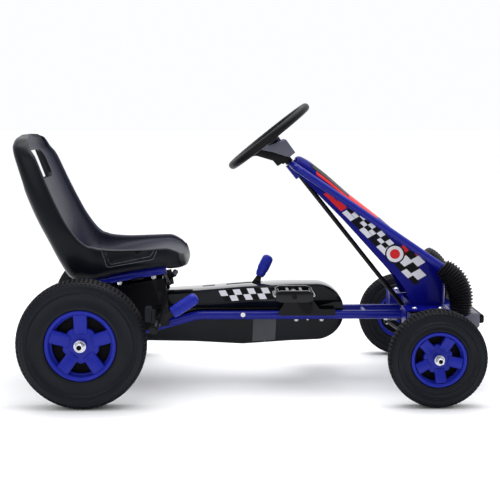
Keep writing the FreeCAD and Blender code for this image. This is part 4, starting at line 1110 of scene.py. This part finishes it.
def make_steering_wheel():
    shapes = []
    segments, sides = 128, 24
    points = []
    for angle in around(segments):
        out = Vector((0, 1, 0)) * cos(angle) + STEER_UP * sin(angle)
        for turn in around(sides):
            r = RING_R + RING_SECTION_R * 0.96 * cos(turn)
            n = RING_SECTION_R * sin(turn)
            points.append(tuple(WHEEL_CENTRE + out * r + STEER_DIR * n))
    shapes.append((points, strip_faces(segments, sides, close_rows=True)))
    for degrees in (0, 180, 270):
        angle = radians(degrees)
        out = Vector((0, 1, 0)) * cos(angle) + STEER_UP * sin(angle)
        across = out.cross(STEER_DIR)
        points = []
        for k in range(13):
            f = k / 12
            reach = 12 + (RING_R - 3 - 12) * f
            half = 13 - 2.5 * smoothstep(0, 0.8, f) + 3.5 * smoothstep(0.8, 1, f)
            depth = 8 - 6.5 * smoothstep(0.1, 1, f)
            thick = 8 - 2 * f
            for a, n in ((-1, 0.35), (-0.85, 0.0), (0, -0.12), (0.85, 0.0), (1, 0.35), (1, 0.8), (0.8, 1),
                         (-0.8, 1), (-1, 0.8)):
                points.append(tuple(on_shaft(depth + thick * n) + out * reach + across * (half * a)))
        shapes.append((points, closed_faces(13, 9)))
    dish = [(7.4, 2), (7.4, 13), (8.4, 15), (10, 16), (22, 16), (24, 14), (24, 2)]
    shapes.append(revolved(dish, WHEEL_CENTRE, STEER_DIR, 56))
    piece("steering_wheel_detailed", joined(shapes), satin_black, "steering", ["steering_wheel"],
          angle=40)

    def pod(outline, half, pinch):
        """A pod under the wheel: its side outline, narrowed towards the driver's side by `pinch`."""
        points = []
        for y in (-1, 1):
            for a, n in outline:
                width = half * (1 - pinch * smoothstep(20, 70, n))
                points.append(tuple(on_shaft(n, a, y * width)))
        return points, closed_faces(2, len(outline))

    lower = pod([(-57, 9.5), (-50, 13.5), (-46, 17), (-35, 33), (-26, 46), (-25.5, 61.6), (-15, 62.6),
                 (-13.6, 66), (3, 66), (6, 62.4), (0.5, 55.4), (-15, 32), (-34, 8.6)], 27, 0.25)
    neck = revolved([(50, 8.8), (73, 8.8)], WHEEL_CENTRE, STEER_DIR, 32)
    piece("steering_pod_detailed", joined([lower, neck]), satin_black, "steering", ["steering_hub"],
          bevel=1.0)
    cover = pod([(-33.6, 8.8), (-14.6, 32), (0.9, 55.4), (6.4, 62), (22.6, 62), (24.2, 27), (-20.2, 10.2)],
                29.5, 0.12)
    piece("steering_cover_detailed", cover, hub_grey, "steering", ["steering_hub_cover"],
          bevel=1.6)
    bands = ((0.06, 0.40, vinyl_white, "white"), (0.52, 0.94, paint_blue, "blue"))
    for low, high, material, name in bands:
        a0, n0, a1, n1 = -20.2, 10.2, 24.2, 27.0
        lift = STEER_UP * 0.5 - STEER_DIR * 0.9
        points = []
        for j in range(9):
            f = low + (high - low) * j / 8
            for y in (-24, -12, 0, 12, 24):
                points.append(tuple(on_shaft(n0 + (n1 - n0) * f, a0 + (a1 - a0) * f, y) + lift))
        piece("steering_cover_band_" + name, (points, strip_faces(9, 5, close_ring=False)), material,
              "steering", angle=60, outward=False)


# ---------------------------------------------------------------- pedals and grips

def make_pedals():
    for name, side in SIDES.items():
        angle = CRANK_ANGLE if side < 0 else CRANK_ANGLE + pi
        x, z = CRANK_X + CRANK_ARM * cos(angle), CRANK_Z + CRANK_ARM * sin(angle)
        y0, y1 = side * (PEDAL_Y - PEDAL_W / 2), side * (PEDAL_Y + PEDAL_W / 2)
        low, high = min(y0, y1), max(y0, y1)
        half_l, half_h = PEDAL_L / 2 - 5, PEDAL_H / 2
        shapes = []
        outline = [(-half_l, -4), (-half_l + 3, -9), (-half_l + 10, -half_h), (half_l - 10, -half_h),
                   (half_l - 3, -9), (half_l, -4), (half_l, 4), (half_l - 3, 9), (half_l - 10, half_h),
                   (-half_l + 10, half_h), (-half_l + 3, 9), (-half_l, 4)]
        for y in (low, high - 8):
            shapes.append(prism([(x + a, z + b) for a, b in outline], y, y + 8))
        for a0, a1, b in ((-half_l, -half_l + 7, 9), (half_l - 7, half_l, 9), (-17, -11, 10.5),
                          (11, 17, 10.5)):
            shapes.append(box(x + a0, x + a1, low + 4, high - 4, z - b, z + b))
        shapes.append(box(x - half_l + 6, x + half_l - 6, low + 6, high - 6, z - 3, z + 3))
        shapes.append(revolved([(low + 4, 9), (high - 4, 9)], (x, 0, z), (0, 1, 0), 28))
        for k in range(6):
            y = low + 11 + (high - low - 22) * k / 5
            for a in (-half_l + 3.5, half_l - 3.5):
                for b in (9, -9):
                    shapes.append(revolved([(0, 2.2), (2.0, 1.4)], (x + a, y, z + b),
                                           (0, 0, copysign(1, b)), 10))
        piece("pedal_detailed_" + name, joined(shapes), gloss_black, "pedal_" + name, ["pedal_" + name],
              bevel=0.8)
        outer = y0 if abs(y0) > abs(y1) else y1
        lens = box(x - 9, x + 9, outer - 0.5 * side, outer - 2.5 * side, z + 3.5, z + 9.5)
        plates = joined([box(x + s * (half_l + 0.8) - 1, x + s * (half_l + 0.8) + 1, low + 18, high - 18,
                             z - 5, z + 5) for s in (-1, 1)] + [lens])
        piece("pedal_reflectors_" + name, plates, reflector, "pedal_" + name,
              bevel=0.5)
        wires = []
        for s in (-1, 1):
            ends = [(x + s * (half_l - 3), low + 6, z), (x + s * (PEDAL_L / 2 - 1.2), low + 6, z),
                    (x + s * (PEDAL_L / 2 - 1.2), high - 6, z), (x + s * (half_l - 3), high - 6, z)]
            wires.append(sweep(rounded_path(ends, [3.4, 3.4], 1.5), 1.1, 10))
        piece("pedal_wires_" + name, joined(wires), zinc, "pedal_" + name, angle=60)


def make_grip(lever, body, profile, root, lean, ridges):
    """A moulded hand grip along a lever, with a few raised bands round it."""
    up = Vector((cos(lean), 0, sin(lean)))
    shapes = [revolved(profile, root, up, 40)]
    for d in ridges:
        shapes.append(revolved([(d, 12.2), (d + 1, 12.9), (d + 2.4, 12.9), (d + 3.4, 12.2)], root, up, 40))
    piece(lever + "_grip_detailed", joined(shapes), plastic_blue, body, [lever + "_grip"],
          angle=40)


def make_grips():
    gear = [(86, 8.4), (86.8, 9.4), (90, 9.6), (91.4, 10.6), (95, 11.0), (98, 10.9), (100, 11.2),
            (103, 12.4), (118, 12.5), (128, 12.2), (132, 10.8), (134.6, 8.0), (135.8, 4.4), (136, 1.5)]
    make_grip("gear", "gear_lever", gear, GEAR_PIVOT, GEAR_LEAN, (106, 111, 116))
    brake = [(40, 9.6), (40.6, 11.2), (43, 12.0), (45, 11.4), (47, 11.8), (50, 12.4), (88, 12.5),
             (94, 11.8), (97.6, 9.4), (99.4, 6.2), (100, 2)]
    make_grip("brake", "brake", brake, BRAKE_PIVOT + Vector((0, BRAKE_LEVER_Y, 0)), BRAKE_LEAN,
              (54, 60, 66, 72))


# ---------------------------------------------------------------- carried-over CAD parts

def finish_cad_parts():
    """Give every CAD part that still shows its own material."""
    looks = {
        paint_blue: ["main_rails", "cross_tubes", "hoop_tubes", "steering_bearings", "seat_tubes",
                     "rear_axle_brackets"],
        black_paint: ["kingpin_brackets", "crank_brackets", "seat_pedestal", "seat_slider", "brake_bracket",
                      "brake_lever", "gear_lever", "steering_shaft", "seat_lock_lever"],
        rubber: ["brake_pad"],
        zinc: ["kingpins", "frame_bolts", "seat_bolts", "rear_axle", "knuckle_right", "knuckle_left"],
        satin_black: ["crankshaft", "tie_rod_right", "tie_rod_left"],
        steel: ["drive_sprocket", "driven_sprocket", "drive_chain", "frame_bearings"],
    }
    for material, names in looks.items():
        for name in names:
            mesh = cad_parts[name].data
            mesh.materials.clear()
            mesh.materials.append(material)


# ---------------------------------------------------------------- stage

NEAR_SKY, FAR_SKY, TOP_SKY = 0.22, 1.0, 0.5    # the studio is brighter behind the kart and overhead


def make_stage():
    scene = bpy.context.scene
    floor_mesh = bpy.data.meshes.new("floor")
    floor_mesh.from_pydata([(-40, -40, 0), (40, -40, 0), (40, 40, 0), (-40, 40, 0)], [], [(0, 1, 2, 3)])
    floor = bpy.data.objects.new("floor", floor_mesh)
    scene.collection.objects.link(floor)
    floor_mesh.materials.append(surface("floor_pale", (0.93, 0.93, 0.94), 0.8, specular=0.0, mottle=0.005))

    world = scene.world or bpy.data.worlds.new("studio")
    scene.world = world
    world.use_nodes = True
    nodes, links = world.node_tree.nodes, world.node_tree.links
    sky = nodes["Background"]
    aim = nodes.new("ShaderNodeTexCoord")
    split = nodes.new("ShaderNodeSeparateXYZ")
    links.new(aim.outputs["Generated"], split.inputs["Vector"])

    def eased(axis, **settings):
        """A smooth step of the view's direction along an axis."""
        node = nodes.new("ShaderNodeMapRange")
        node.interpolation_type = "SMOOTHSTEP"
        for socket, value in settings.items():
            node.inputs[socket.replace("_", " ")].default_value = value
        links.new(split.outputs[axis], node.inputs["Value"])
        return node

    side_to_side = eased("Y", From_Min=-0.75, From_Max=0.25, To_Min=NEAR_SKY, To_Max=FAR_SKY)
    upward = eased("Z", From_Min=0.1, From_Max=0.8, To_Max=TOP_SKY)
    total = nodes.new("ShaderNodeMath")
    total.operation = "ADD"
    links.new(side_to_side.outputs["Result"], total.inputs[0])
    links.new(upward.outputs["Result"], total.inputs[1])
    links.new(total.outputs["Value"], sky.inputs["Strength"])
    sky.inputs["Color"].default_value = (0.98, 0.985, 1.0, 1)

    lamps = (("overhead", (0.1, 0.1, 2.4), 2.2, 42), ("front_fill", (-1.3, -2.6, 1.5), 1.2, 8))
    for name, spot, size, power in lamps:
        lamp = bpy.data.lights.new(name, "AREA")
        lamp.shape = "SQUARE"
        lamp.size = size
        lamp.energy = power
        obj = bpy.data.objects.new(name, lamp)
        scene.collection.objects.link(obj)
        obj.location = spot
        obj.rotation_euler = (Vector((0, 0, 0.2)) - Vector(spot)).to_track_quat("-Z", "Y").to_euler()

    camera_data = bpy.data.cameras.new("camera")
    camera_data.sensor_width = 36.0
    camera_data.lens = 79.55
    camera_data.dof.use_dof = False
    camera = bpy.data.objects.new("camera", camera_data)
    scene.collection.objects.link(camera)
    camera.location = (-0.04435, -2.4067, 0.58007)
    heading, pitch = 0.0193, 0.1212
    ahead = Vector((sin(heading) * cos(pitch), cos(heading) * cos(pitch), -sin(pitch)))
    camera.rotation_euler = ahead.to_track_quat("-Z", "Y").to_euler()
    scene.camera = camera
    scene.view_settings.view_transform = "Standard"


make_stage()
make_wheels()
make_seat()
make_seat_lock()
make_hood()
make_decals()
make_sleeves()
make_beam_bolts()
make_bumper()
make_case()
make_case_sticker()
make_steering_wheel()
make_pedals()
make_grips()
make_beam()
finish_cad_parts()
